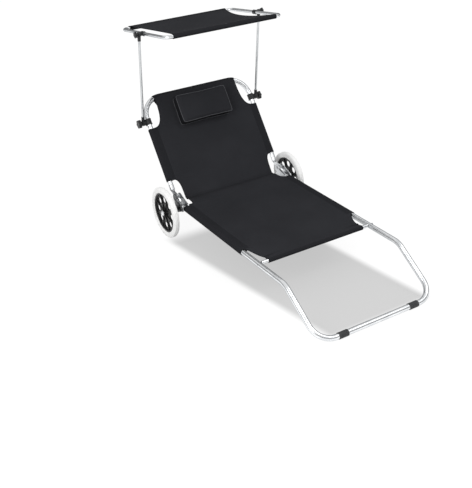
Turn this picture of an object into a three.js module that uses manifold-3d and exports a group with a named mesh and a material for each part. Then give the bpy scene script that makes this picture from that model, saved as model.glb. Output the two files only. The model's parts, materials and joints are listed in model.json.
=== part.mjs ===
// Wheeled sun lounger with a tilting canopy.
// Millimetres, +X to the sitter's left, +Y towards the head, +Z up.
// The model is laid out from the axle, which lies at y = 0, and moved at the end so that the middle of its
// outline is on the axes and its wheels and feet stand on z = 0.
import * as THREE from "three";
import { mergeVertices } from "three/addons/utils/BufferGeometryUtils.js";
import Module from "manifold-3d";

const wasm = await Module();
wasm.setup();

const { cos, sin, PI, abs, min } = Math;
const radians = THREE.MathUtils.degToRad;
const quarterTurn = PI / 2;

// Driving dimensions: frames
const tubeRadius = 12.5;
const tubeWall = 1.4;
const railSpacing = 610; // between the axes of the two side rails
const bedHeight = 172; // axis of the side rails above the floor
const kneeDistance = 960; // from the axle forwards to where the rails turn down
const footDistance = 1200; // from the axle forwards to the foot bar
const kneeRadius = 90;
const footCornerRadius = 85;
const railEndDistance = 62; // the rails stop this far in front of the axle
const crossTubeDistance = 762;
const crossTubeRadius = 8;
const crossTubeWall = 1.2;
const crossBoltRadius = 2.5;
const boltHeadRadius = 5.5;
const boltHeadHeight = 2.5;

// Driving dimensions: feet
const sleeveThickness = 2.4;
const sleeveLength = 48;
const sleeveDistance = 187; // middle of a foot sleeve from the middle of the bar
const sleeveFlat = 1; // how much the underside of a sleeve is flattened

// Driving dimensions: backrest
const backrestAngle = 54; // from flat, in degrees, as it stands
const pivotHeight = 28; // fold axis above the rails' axes
const pivotDistance = 14; // fold axis in front of the axle
const backrestTop = 526; // axis of the top bar from the fold axis
const backrestTubeStart = 46;
const topCornerRadius = 100;

// Driving dimensions: hinge plates, ratchets and axle brackets
const plateThickness = 3;
const plateBevel = 1;
const plateEndRadius = 20;
const railRivetDistance = 82; // rivet through the rail end, in front of the axle
const pinRadius = 5;
const rivetRadius = 3;
const pinHeadHeight = 2.2;
const pinHeadRadius = 9;
const ratchetRadius = 17;
const ratchetToothDepth = 2.4;
const ratchetTeeth = 14;
const ratchetThickness = 8;
const tongueRadius = 8.5;
const plugNeck = 8; // length of plug outside the backrest tube
const plugInsert = 34; // length of plug inside the backrest tube
const pawlReach = 43; // pawl's pin from the fold axis
const pawlAngle = 214; // direction from the fold axis to the pawl's pin, in degrees
const noseAngle = 185; // direction from the fold axis to the pawl's nose, in degrees
const pawlWidth = 9;
const pawlPinRadius = 2.5;
const springThickness = 1.2;
const springWidth = 6;
const springSeat = 34; // length of the leaf spring inside the rail
const springBearing = 14; // from the pawl's pin to where the spring bears on it
const bracketThickness = 3;
const bracketBossRadius = 15;
const bracketFoot = 52; // length of the bracket along the hinge plate
const spacerRadius = 10;

// Driving dimensions: axle and wheels
const wheelRadius = 130;
const tyreWidth = 28;
const tyreHeight = 29;
const tyreCrown = 6;
const wheelFaceDistance = 386; // outer face of a wheel from the middle
const axleRadius = 6;
const bushRadius = 9.5;
const bushFlange = 2.4;
const discThickness = 4;
const rimThickness = 6;
const rimWidth = 18;
const hubRadius = 18;
const hubWidth = 30;
const windowCount = 8;
const windowRadius = 16.5;
const windowPitchRadius = 68;
const ribThickness = 3.2;
const ribHeight = 9;
const capRadius = 13.5;
const capHeight = 7;
const capReach = 5.5; // how far the cap grips the axle end

// Driving dimensions: canopy arms
const armRadius = 6;
const armLength = 464; // between its two pivots
const armPivotAlong = 411; // lower pivot from the fold axis, along the backrest
const armLean = 43; // arm against backrest, in degrees, as it stands
const armDistance = 334; // axis of an arm from the middle
const socketThickness = 12.4;
const lowerSocketRadius = 14;
const upperSocketRadius = 11;
const socketGrip = 22; // length of arm held in a socket

// Driving dimensions: clamps, bolts and knobs
const clampWall = 5;
const clampLength = 30;
const upperClampWall = 3.2;
const upperClampLength = 22;
const bossRadius = 13;
const upperBossRadius = 9.5;
const boltRadius = 3.5;
const clampHeadRadius = 6;
const clampHeadThickness = 3;
const knobRadius = 20;
const upperKnobRadius = 13.5;
const knobThickness = 17;
const upperKnobThickness = 12;
const knobBevel = 2.5;
const knobLobes = 6;
const knobLobeDepth = 2.6;
const knobCollarRadius = 8.5;
const knobCollarLength = 6;
const knobBoltDepth = 14; // depth of a knob's hole, from its inner face
const socketNeckRadius = 8.2;

// Driving dimensions: canopy
const canopyTubeRadius = 8;
const canopyTubeWall = 1.2;
const canopyWidth = 624; // between the axes of its end tubes
const canopyDepth = 484; // between the axes of its long tubes
const canopyCornerRadius = 35;
const canopyTilt = -104; // canopy against arm, in degrees, as it stands
const frameJointGap = 1;
const joinerLength = 90;
const canopyScoop = 44; // how far the cloth's short edges curve in
const canopySag = 12;
const canopyHem = 34;

// Driving dimensions: cloth
const clothThickness = 2.5;
const seatSleeveStart = 103; // rear end of the seat cloth's sleeves, in front of the axle
const frontScoopLength = 132; // from the front ends of the seat cloth's sleeves to the cross tube
const frontInset = 47; // ends of the seat cloth's front hem, in from the rails' axes
const creaseInset = 46; // edges of the cloth at the crease, in from the rails' axes
const creaseDistance = 40; // where the seat cloth turns down into the crease, in front of the axle
const creaseRadius = 23;
const creaseEnd = -77; // direction, from the fold axis, in which the crease ends, in degrees
const seatSag = 9;
const seatHem = 30;
const backSleeveStart = 92;
const backSleeveEnd = 371;
const backClothStart = -10;
const backGrip = 6; // how far from the top bar's line the back cloth still follows the bends
const backSag = 8;
const rearFlap = 118;

// Shapes of the cloth's scooped corners: the higher, the later the edge turns out
const hingeScoopShare = 3.8;
const frontScoopShare = 1.6;
const topScoopShare = 3;
const cornerShare = 0.3; // of the pillow's outline: 1 is an ellipse, 0 a rectangle

// Driving dimensions: pillow
const pillowWidth = 290;
const pillowHeight = 146;
const pillowThickness = 50;
const pillowMiddle = 423; // from the fold axis, along the backrest
const pillowPull = 4; // how far its sides draw in between the corners

// Clearances
const fit = 0.3; // between pieces that touch
const clothGap = 0.4; // between cloth and tube
const runningGap = 0.5;
const overrun = 1; // how far a cut runs past what it cuts, and how deep joined shapes go into one another

// Sides and steps of round shapes and cloth
const tubeSides = 12;
const boreSides = 6;
const boreShare = cos(PI / boreSides); // flat-to-flat against corner-to-corner size of a bore
const slimSides = 8;
const pinSides = 10;
const arcSteps = 5;
const roundSteps = 3; // per quarter turn of a small plate's outline
const hubSides = 10;
const wheelSteps = 24;
const windowSteps = 8;
const clothColumns = 6;

// Worked out from the driving dimensions
const railX = railSpacing / 2;
const footHeight = tubeRadius + sleeveThickness - sleeveFlat;
const sleeveOuterRadius = tubeRadius + sleeveThickness;
const railFace = railX + tubeRadius; // outer face of a rail
const armFace = armDistance - socketThickness / 2; // inner face of a socket
const knobFace = armDistance + socketThickness / 2;
const backrestTubeLevel = -pivotHeight; // tubes' axes in the backrest's own frame
const clothLevel = tubeRadius + clothGap; // underside of the cloth above the tubes' axes
const crossTubeHeight = bedHeight + clothLevel - clothGap - crossTubeRadius;
const seatSleeveEnd = crossTubeDistance - frontScoopLength;
const creaseHalf = railX - creaseInset;
const canopyHalf = canopyWidth / 2;
const canopyEdge = canopyDepth / 2;

// A mesh with only positions, its shared vertices merged, as a solid.
function solidOf(geometry) {
  const bare = geometry.index ? geometry.toNonIndexed() : geometry.clone();
  bare.deleteAttribute("normal");
  bare.deleteAttribute("uv");
  const merged = mergeVertices(bare, 1e-4);
  return new wasm.Manifold(
    new wasm.Mesh({
      numProp: 3,
      vertProperties: merged.attributes.position.array,
      triVerts: new Uint32Array(merged.index.array),
    }),
  );
}

// A solid back as a geometry.
function geometryOf(solid) {
  const mesh = solid.getMesh();
  return new THREE.BufferGeometry()
    .setAttribute("position", new THREE.BufferAttribute(mesh.vertProperties, 3))
    .setIndex(new THREE.BufferAttribute(mesh.triVerts, 1));
}

function join(...geometries) {
  return geometryOf(geometries.map(solidOf).reduce((a, b) => a.add(b)));
}

function cut(geometry, ...tools) {
  return geometryOf(tools.map(solidOf).reduce((a, b) => a.subtract(b), solidOf(geometry)));
}

// A path through corners with round bends, sampled only where it turns: its parameter counts the samples.
class BentPath extends THREE.Curve {
  constructor(corners, radius) {
    super();
    const radii = corners.map((corner, i) => (Array.isArray(radius) ? radius[i] : radius));
    this.stations = corners.flatMap((corner, i) => {
      if (i === 0 || i === corners.length - 1) return [corner.clone()];
      return BentPath.bend(corners[i - 1], corner, corners[i + 1], radii[i]);
    });
    this.steps = this.stations.length - 1;
  }

  // Points round one corner: an arc that touches both straights.
  static bend(before, corner, after, radius) {
    const back = before.clone().sub(corner).normalize();
    const ahead = after.clone().sub(corner).normalize();
    const half = back.angleTo(ahead) / 2;
    const reach = radius / Math.tan(half);
    const middle = back.clone().add(ahead).normalize().multiplyScalar(radius / sin(half)).add(corner);
    const from = corner.clone().addScaledVector(back, reach).sub(middle);
    const axis = from.clone().cross(corner.clone().addScaledVector(ahead, reach).sub(middle)).normalize();
    const turn = PI - 2 * half;
    return Array.from({ length: arcSteps + 1 }, (_, k) =>
      from.clone().applyAxisAngle(axis, (turn * k) / arcSteps).add(middle),
    );
  }

  getUtoTmapping(u) {
    return u;
  }

  getPoint(t, target = new THREE.Vector3()) {
    const place = t * this.steps;
    const i = min(Math.floor(place), this.steps - 1);
    return target.lerpVectors(this.stations[i], this.stations[i + 1], place - i);
  }

  // At a sample the direction is the mean of the two straights that meet there.
  getTangent(t, target = new THREE.Vector3()) {
    const i = Math.round(t * this.steps);
    const here = this.stations[i];
    const before = i > 0 ? this.stations[i - 1] : this.before;
    const after = i < this.steps ? this.stations[i + 1] : this.after;
    target.set(0, 0, 0);
    if (before) target.add(here.clone().sub(before).normalize());
    if (after) target.add(after.clone().sub(here).normalize());
    return target.normalize();
  }

  // The part from one sample to another, its ends cut as the whole path is cut there.
  part(first, last) {
    const piece = new BentPath([this.stations[first], this.stations[last]], 0);
    piece.stations = this.stations.slice(first, last + 1);
    piece.steps = last - first;
    piece.before = this.stations[first - 1];
    piece.after = this.stations[last + 1];
    return piece;
  }
}

function polygon(radius, sides) {
  return Array.from({ length: sides }, (_, k) => {
    const angle = (2 * PI * k) / sides;
    return new THREE.Vector2(radius * cos(angle), radius * sin(angle));
  });
}

// A tube along a path: solid without a bore, open at both ends with one.
function tube(path, radius, bore = 0, sides = tubeSides, innerSides = boreSides) {
  const section = new THREE.Shape(polygon(radius, sides));
  if (bore) section.holes.push(new THREE.Path(polygon(bore, innerSides).reverse()));
  return new THREE.ExtrudeGeometry(section, { steps: path.steps, extrudePath: path, curveSegments: 1 });
}

// A round hole in an outline, its flats as far from its middle as a true circle's edge.
function roundHole(centre, radius, sides) {
  return new THREE.Path(
    polygon(radius / cos(PI / sides), sides)
      .reverse()
      .map((p) => p.add(centre)),
  );
}

// A round bar along X, between two places.
function barX(x0, x1, y, z, radius, sides = pinSides) {
  const bar = new THREE.CylinderGeometry(radius, radius, abs(x1 - x0), sides);
  return bar.rotateZ(quarterTurn).translate((x0 + x1) / 2, y, z);
}

// A round bore along X: a bar whose flats are as far from its axis as a true bore's wall.
function boreX(x0, x1, y, z, radius, sides = pinSides) {
  return barX(x0, x1, y, z, radius / cos(PI / sides), sides);
}

// A flat plate of an outline in the Y-Z plane, from x0 to x1, its rims bevelled.
function plateX(shape, x0, x1, bevel = 0, curveSegments = roundSteps) {
  const plate = new THREE.ExtrudeGeometry(shape, {
    depth: x1 - x0 - 2 * bevel,
    bevelEnabled: bevel > 0,
    bevelSize: bevel,
    bevelOffset: -bevel,
    bevelThickness: bevel,
    bevelSegments: 1,
    curveSegments,
  });
  // The outline's own x and y become Y and Z, and its depth becomes X.
  const turn = new THREE.Matrix4().set(0, 0, 1, 0, 1, 0, 0, 0, 0, 1, 0, 0, 0, 0, 0, 1);
  return plate.applyMatrix4(turn).translate(x0 + bevel, 0, 0);
}

// A box between two corners.
function box(low, high) {
  const size = high.clone().sub(low);
  const middle = low.clone().add(high).multiplyScalar(1 / 2);
  return new THREE.BoxGeometry(size.x, size.y, size.z).translate(middle.x, middle.y, middle.z);
}

const vec = (x, y, z) => new THREE.Vector3(x, y, z);
const mirrored = (geometry) => {
  const copy = geometry.index ? geometry.toNonIndexed() : geometry.clone();
  copy.deleteAttribute("normal");
  copy.deleteAttribute("uv");
  const place = copy.getAttribute("position");
  for (let i = 0; i < place.count; i += 3) {
    const first = vec(-place.getX(i), place.getY(i), place.getZ(i));
    place.setXYZ(i, -place.getX(i + 1), place.getY(i + 1), place.getZ(i + 1));
    place.setXYZ(i + 1, first.x, first.y, first.z);
    place.setX(i + 2, -place.getX(i + 2));
  }
  return copy;
};

// A closed sheet of even thickness.
// surface(s, row) gives a point of one face, out(row, s) the way to the other.
function sheet(rows, columns, surface, out) {
  const across = columns + 1;
  const faces = [0, 1].map((side) =>
    rows.flatMap((row) =>
      Array.from({ length: across }, (_, k) => {
        const point = surface((2 * k) / columns - 1, row);
        return side ? point.addScaledVector(out(row, (2 * k) / columns - 1), clothThickness) : point;
      }),
    ),
  );
  const count = rows.length * across;
  const triangles = [];
  const quad = (a, b, c, d) => triangles.push(a, b, c, a, c, d);
  for (let r = 0; r < rows.length - 1; r += 1) {
    for (let k = 0; k < columns; k += 1) {
      const a = r * across + k;
      quad(a, a + across, a + across + 1, a + 1);
      quad(count + a, count + a + 1, count + a + across + 1, count + a + across);
    }
    const first = r * across;
    const last = first + columns;
    quad(first, count + first, count + first + across, first + across);
    quad(last, last + across, count + last + across, count + last);
  }
  for (let k = 0; k < columns; k += 1) {
    const end = (rows.length - 1) * across + k;
    quad(k, k + 1, count + k + 1, count + k);
    quad(end, count + end, count + end + 1, end + 1);
  }
  return new THREE.BufferGeometry()
    .setAttribute("position", new THREE.Float32BufferAttribute(faces.flat().flatMap((p) => p.toArray()), 3))
    .setIndex(triangles);
}

// How far a scooped edge has come out, from 0 to 1, as q goes from 0 to 1: a superellipse's corner.
const scoop = (q, power) => 1 - (1 - q ** power) ** (1 / power);
// Places from 0 to 1 that crowd towards 1, where a scoop turns fastest.
const crowded = (count) => Array.from({ length: count + 1 }, (_, k) => sin((quarterTurn * k) / count));
const evenly = (count) => Array.from({ length: count + 1 }, (_, k) => k / count);
// Sag of a sheet held on all sides: none at the edges, full in the middle.
const sagging = (s, share) => (1 - s * s) * (1 - (2 * share - 1) ** 2);

const aluminium = { color: 0xd9dbdd, roughness: 0.32, metalness: 0.9 };
const steel = { color: 0x8e9194, roughness: 0.42, metalness: 0.85 };
const blackPlastic = { color: 0x17181a, roughness: 0.55, metalness: 0 };
const blackRubber = { color: 0x1c1c1d, roughness: 0.8, metalness: 0 };
const paleRubber = { color: 0xdcdddd, roughness: 0.7, metalness: 0 };
const blackCloth = { color: 0x2d2e32, roughness: 0.95, metalness: 0 };

function add(group, name, geometry, finish) {
  const mesh = new THREE.Mesh(geometry, new THREE.MeshStandardMaterial(finish));
  mesh.name = name;
  group.add(mesh);
}

// Adds a piece for the left side, at +X, and its mirror image for the right.
function addPair(group, name, geometry, finish) {
  add(group, name + "_left", geometry, finish);
  add(group, name + "_right", mirrored(geometry), finish);
}

const lounger = new THREE.Group();
const bed = new THREE.Group();
const backrest = new THREE.Group();
backrest.position.set(0, -pivotDistance, bedHeight + pivotHeight);
backrest.rotation.x = radians(backrestAngle);
const arms = new THREE.Group();
arms.position.set(0, armPivotAlong, backrestTubeLevel);
arms.rotation.x = radians(armLean);
const canopy = new THREE.Group();
canopy.position.set(0, armLength, 0);
canopy.rotation.x = radians(canopyTilt);
lounger.add(bed, backrest);
backrest.add(arms);
arms.add(canopy);

// Bed frame: one bent tube from rail end to rail end, with the foot bar between.
function bedTube() {
  const corners = [
    vec(railX, -railEndDistance, bedHeight),
    vec(railX, -kneeDistance, bedHeight),
    vec(railX, -footDistance, footHeight),
    vec(-railX, -footDistance, footHeight),
    vec(-railX, -kneeDistance, bedHeight),
    vec(-railX, -railEndDistance, bedHeight),
  ];
  const path = new BentPath(corners, [0, kneeRadius, footCornerRadius, footCornerRadius, kneeRadius, 0]);
  const long = railFace + overrun;
  return cut(
    tube(path, tubeRadius, tubeRadius - tubeWall),
    boreX(-long, long, -crossTubeDistance, crossTubeHeight, crossBoltRadius + fit, slimSides),
    boreX(-long, long, -railRivetDistance, bedHeight, rivetRadius + fit, slimSides),
  );
}

function crossTube() {
  const reach = railX - tubeRadius - fit;
  const path = new BentPath(
    [vec(-reach, -crossTubeDistance, crossTubeHeight), vec(reach, -crossTubeDistance, crossTubeHeight)],
    0,
  );
  return tube(path, crossTubeRadius, crossTubeRadius - crossTubeWall, slimSides);
}

// Screw through a rail into a plug in the end of the cross tube, made as one piece with the plug.
function crossScrew() {
  const plugRadius = (crossTubeRadius - crossTubeWall) * boreShare - fit;
  const plugEnd = railX - tubeRadius - fit;
  const head = railFace + fit;
  return join(
    barX(head, head + boltHeadHeight, -crossTubeDistance, crossTubeHeight, boltHeadRadius),
    barX(
      plugEnd - plugRadius, head + overrun, -crossTubeDistance, crossTubeHeight, crossBoltRadius, slimSides,
    ),
    barX(plugEnd - 3 * plugRadius, plugEnd, -crossTubeDistance, crossTubeHeight, plugRadius),
  );
}

// Rubber sleeve round the foot bar, flat underneath.
function footSleeve() {
  const half = Math.acos((sleeveOuterRadius - sleeveFlat) / sleeveOuterRadius);
  const outline = new THREE.Shape();
  outline.absarc(0, 0, sleeveOuterRadius, -quarterTurn + half, -quarterTurn - half + 2 * PI);
  const hole = new THREE.Path();
  hole.absarc(0, 0, tubeRadius + fit, 0, 2 * PI, true);
  outline.holes.push(hole);
  const sleeve = plateX(outline, sleeveDistance - sleeveLength / 2, sleeveDistance + sleeveLength / 2, 0, 7);
  return sleeve.translate(0, -footDistance, footHeight);
}

// The fold axis, the rail's rivet and the axle, as points of the Y-Z plane.
const foldPoint = new THREE.Vector2(-pivotDistance, bedHeight + pivotHeight);
const rivetPoint = new THREE.Vector2(-railRivetDistance, bedHeight);
const axlePoint = new THREE.Vector2(0, wheelRadius);

// The outline round two or more circles, given anticlockwise, with the straights that touch each pair
// from outside.
function roundedShape(circles, holes) {
  const turnFrom = ([a, radiusA], [b, radiusB]) => {
    const way = b.clone().sub(a);
    return way.angle() - Math.acos((radiusA - radiusB) / way.length());
  };
  const shape = new THREE.Shape();
  circles.forEach((circle, i) => {
    const last = circles[(i + circles.length - 1) % circles.length];
    const next = circles[(i + 1) % circles.length];
    const [centre, radius] = circle;
    shape.absarc(centre.x, centre.y, radius, turnFrom(last, circle), turnFrom(circle, next));
  });
  shape.holes = holes.map(([centre, radius]) => roundHole(centre, radius, pinSides));
  return shape;
}

// One stamped cheek of a hinge, riveted to the rail end and carrying the fold pin.
function hingePlate(outside) {
  const shape = roundedShape(
    [[foldPoint, plateEndRadius], [rivetPoint, plateEndRadius]],
    [[foldPoint, pinRadius + fit], [rivetPoint, rivetRadius + fit], [pawlPoint(), pawlPinRadius + fit]],
  );
  const inner = outside ? railFace + fit : railX - tubeRadius - fit - plateThickness;
  return plateX(shape, inner, inner + plateThickness, outside ? plateBevel : 0);
}

// Bracket below each hinge: two cheeks outside the hinge plates, and a spacer tube round the axle.
function axleBracket() {
  const heel = rivetPoint.clone().lerp(foldPoint, bracketFoot / rivetPoint.distanceTo(foldPoint));
  const outline = roundedShape(
    [
      [axlePoint, bracketBossRadius],
      [heel, plateEndRadius - pinHeadRadius],
      [rivetPoint, plateEndRadius - plateBevel - pinHeadHeight],
    ],
    [[axlePoint, axleRadius + fit], [rivetPoint, rivetRadius + fit]],
  );
  const outer = railFace + fit + plateThickness + fit;
  const inner = railX - tubeRadius - plateThickness - 2 * fit - bracketThickness;
  const cheeks = [outer, inner].map((x) => plateX(outline, x, x + bracketThickness));
  const spacer = plateX(ringShape(spacerRadius, axleRadius + fit, pinSides), inner + fit, outer + fit);
  return join(...cheeks, spacer.translate(0, axlePoint.x, axlePoint.y));
}

// A headed pin along X from the inner to the outer side of a hinge.
function headedPin(point, radius, low, high, headRadius) {
  return join(
    barX(low - pinHeadHeight, low, point.x, point.y, headRadius),
    barX(low - fit, high + fit, point.x, point.y, radius),
    barX(high, high + pinHeadHeight, point.x, point.y, headRadius),
  );
}

const platesInside = railX - tubeRadius - fit - plateThickness;
const platesOutside = railFace + fit + plateThickness;
const bracketsInside = platesInside - fit - bracketThickness;
const bracketsOutside = platesOutside + fit + bracketThickness;
const hingeHalf = tubeRadius - runningGap / 2; // half of the width of what turns between two hinge plates

function foldPin() {
  return headedPin(foldPoint, pinRadius, platesInside - fit, platesOutside + fit, pinHeadRadius);
}

function railRivet() {
  const inner = bracketsInside - fit;
  const outer = bracketsOutside + fit;
  return join(
    barX(inner - pinHeadHeight / 2, inner, rivetPoint.x, rivetPoint.y, boltHeadRadius),
    barX(inner - fit / 2, outer + fit / 2, rivetPoint.x, rivetPoint.y, rivetRadius, slimSides),
    barX(outer, outer + pinHeadHeight / 2, rivetPoint.x, rivetPoint.y, boltHeadRadius),
  );
}

// A point at a distance from the fold axis, in a direction given in degrees.
function aroundFold(reach, degrees) {
  return new THREE.Vector2(reach, 0).rotateAround(new THREE.Vector2(), radians(degrees)).add(foldPoint);
}

// The pawl turns on its own pin, below and in front of the fold axis.
const pawlPoint = () => aroundFold(pawlReach, pawlAngle);
const noseRadius = pawlWidth / 4;
const nosePoint = () => aroundFold(ratchetRadius + runningGap + noseRadius, noseAngle);

// Pawl with its own pin: it lies between the plates with its nose against the ratchet disc's teeth.
function pawl() {
  const pin = pawlPoint();
  const shape = roundedShape([[pin, pawlWidth / 2], [nosePoint(), noseRadius]], []);
  return join(
    plateX(shape, railX - ratchetThickness / 2, railX + ratchetThickness / 2),
    barX(railX - hingeHalf, railX + hingeHalf, pin.x, pin.y, pawlWidth / 2),
    barX(platesInside - fit, platesOutside + fit, pin.x, pin.y, pawlPinRadius, slimSides),
  );
}

// Leaf spring: it lies along the top of the rail's bore and bears on the pawl's back.
function pawlSpring() {
  const pin = pawlPoint();
  const along = nosePoint().sub(pin).normalize();
  const back = new THREE.Vector2(-along.y, along.x);
  const ceiling = bedHeight + tubeRadius - tubeWall - (springWidth / 2) * Math.tan(PI / boreSides) - fit;
  const rear = new THREE.Vector2(-railEndDistance - springSeat, ceiling);
  const mouth = new THREE.Vector2(-railEndDistance, ceiling);
  const tip = pin.clone().addScaledVector(along, springBearing).addScaledVector(back, pawlWidth / 2);
  tip.y += springThickness;
  const upper = [rear, mouth, tip];
  const lower = upper.map((p) => new THREE.Vector2(p.x, p.y - springThickness)).reverse();
  return plateX(new THREE.Shape([...upper, ...lower]), railX - springWidth / 2, railX + springWidth / 2);
}

add(bed, "bed_tube", bedTube(), aluminium);
add(bed, "front_cross_tube", crossTube(), aluminium);
addPair(bed, "cross_tube_screw", crossScrew(), steel);
addPair(bed, "foot_sleeve", footSleeve(), blackRubber);
addPair(bed, "hinge_plate_outer", hingePlate(true), steel);
addPair(bed, "hinge_plate_inner", hingePlate(false), steel);
addPair(bed, "fold_pin", foldPin(), steel);
addPair(bed, "rail_rivet", railRivet(), steel);
addPair(bed, "ratchet_pawl", pawl(), steel);
addPair(bed, "pawl_spring", pawlSpring(), steel);
addPair(bed, "axle_bracket", axleBracket(), steel);

// Axle and wheels, on the line y = 0 at wheel height
const wheelInner = wheelFaceDistance - tyreWidth;
const hubOuter = wheelFaceDistance + (hubWidth - tyreWidth) / 2;
const hubInner = hubOuter - hubWidth;
const rimRadius = wheelRadius - tyreHeight;

function axle() {
  return barX(-hubOuter - capReach, hubOuter + capReach, axlePoint.x, axlePoint.y, axleRadius);
}

// Ring of pale rubber: crowned tread, flat sides, open bore.
function tyre() {
  const half = tyreWidth / 2;
  const profile = [
    [rimRadius + fit, half - tyreCrown / 2],
    [rimRadius + tyreCrown, half],
    [wheelRadius - tyreCrown, half - tyreCrown / 4],
    [wheelRadius - tyreCrown / 4, half - tyreCrown],
    [wheelRadius, 0],
  ];
  const mirror = profile.slice(0, -1).reverse().map(([radius, along]) => [radius, -along]);
  const loop = [...profile, ...mirror, profile[0]].reverse();
  const points = loop.map(([radius, along]) => new THREE.Vector2(radius, along));
  const ring = new THREE.LatheGeometry(points, wheelSteps).rotateZ(quarterTurn);
  return ring.translate(wheelInner + half, axlePoint.x, axlePoint.y);
}

function ringShape(outer, inner, sides) {
  const shape = new THREE.Shape(polygon(outer, sides));
  shape.holes.push(roundHole(new THREE.Vector2(), inner, sides));
  return shape;
}

// Wheel body: rim, web with round windows, ribs and hub in one moulding.
function wheelDisc() {
  const middle = wheelInner + tyreWidth / 2;
  const web = ringShape(rimRadius - rimThickness / 2, hubRadius - overrun, wheelSteps);
  for (let k = 0; k < windowCount; k += 1) {
    const centre = new THREE.Vector2(windowPitchRadius, 0);
    centre.rotateAround(new THREE.Vector2(), (2 * PI * k) / windowCount);
    web.holes.push(roundHole(centre, windowRadius, windowSteps));
  }
  const rim = plateX(
    ringShape(rimRadius, rimRadius - rimThickness, wheelSteps), middle - rimWidth / 2, middle + rimWidth / 2,
  );
  const hub = plateX(ringShape(hubRadius, bushRadius + fit, hubSides), hubInner, hubOuter);
  const disc = plateX(web, middle - discThickness / 2, middle + discThickness / 2);
  const ribs = Array.from({ length: windowCount }, (_, k) => {
    const rib = box(
      vec(middle - ribHeight, hubRadius - ribThickness / 2, -ribThickness / 2),
      vec(middle + ribHeight, rimRadius - rimThickness / 2, ribThickness / 2),
    );
    return rib.rotateX((2 * PI * (k + 1 / 2)) / windowCount);
  });
  return join(rim, hub, disc, ...ribs).translate(0, axlePoint.x, axlePoint.y);
}

// Flanged bush between hub and axle.
function bush() {
  const face = hubInner - fit;
  const flangeRadius = hubRadius - rimThickness / 2;
  const sleeve = plateX(ringShape(bushRadius, axleRadius + fit, hubSides), face - bushFlange / 2, hubOuter);
  const flange = plateX(ringShape(flangeRadius, axleRadius + fit, hubSides), face - bushFlange, face);
  return join(sleeve, flange).translate(0, axlePoint.x, axlePoint.y);
}

// Pressed cap that keeps a wheel on the axle.
function hubCap() {
  const face = hubOuter + fit;
  const dome = new THREE.LatheGeometry(
    [
      new THREE.Vector2(0, 0),
      new THREE.Vector2(capRadius, 0),
      new THREE.Vector2(capRadius, capHeight / 2),
      new THREE.Vector2(capRadius * 0.8, capHeight),
      new THREE.Vector2(0, capHeight + capReach / 3),
    ],
    pinSides + 4,
  );
  dome.rotateZ(-quarterTurn).translate(face, axlePoint.x, axlePoint.y);
  const boreEnd = hubOuter + capReach + fit;
  return cut(dome, boreX(face - overrun, boreEnd, axlePoint.x, axlePoint.y, axleRadius + fit));
}

// Tube round the axle that keeps a wheel away from its bracket.
function axleSpacer() {
  const low = bracketsOutside + fit;
  const high = hubInner - fit - bushFlange - fit;
  const ring = plateX(ringShape(spacerRadius, axleRadius + fit, hubSides), low, high);
  return ring.translate(0, axlePoint.x, axlePoint.y);
}

add(bed, "axle", axle(), steel);
addPair(bed, "axle_spacer", axleSpacer(), steel);
addPair(bed, "tyre", tyre(), paleRubber);
addPair(bed, "wheel_disc", wheelDisc(), blackPlastic);
addPair(bed, "wheel_bush", bush(), blackPlastic);
addPair(bed, "hub_cap", hubCap(), steel);

// Strip of cloth that leaves the far side of a tube along X and is sewn to the panel above it at seamY.
// level(s) gives the panel's underside along the seam.
function hemStrip(half, tubeY, tubeZ, radius, seamY, level) {
  const side = Math.sign(seamY - tubeY);
  const reach = radius + clothGap;
  // Direction from the tube's axis to the point where the strip leaves the tube.
  const leave = (s) => {
    const toSeam = new THREE.Vector2(seamY - tubeY, level(s) - tubeZ);
    const angle = toSeam.angle() - side * Math.acos(reach / toSeam.length());
    return vec(0, cos(angle), sin(angle));
  };
  const surface = (s, row) => {
    const onTube = vec(0, tubeY, tubeZ).addScaledVector(leave(s), reach);
    const start = row ? vec(0, seamY, level(s) + overrun) : onTube;
    return start.addScaledVector(leave(s), clothThickness).setX(s * half);
  };
  return sheet(side > 0 ? [0, 1] : [1, 0], clothColumns, surface, (row, s) => leave(s).negate());
}

// A cloth sleeve round a run of tube.
function sleeveOn(path, radius, sides) {
  return tube(path, radius + clothGap + clothThickness, radius + clothGap, sides, sides);
}

// A cloth sleeve round a straight run of tube.
function sleeveAlong(from, to, radius, sides) {
  return sleeveOn(new BentPath([from, to], 0), radius, sides);
}

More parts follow.
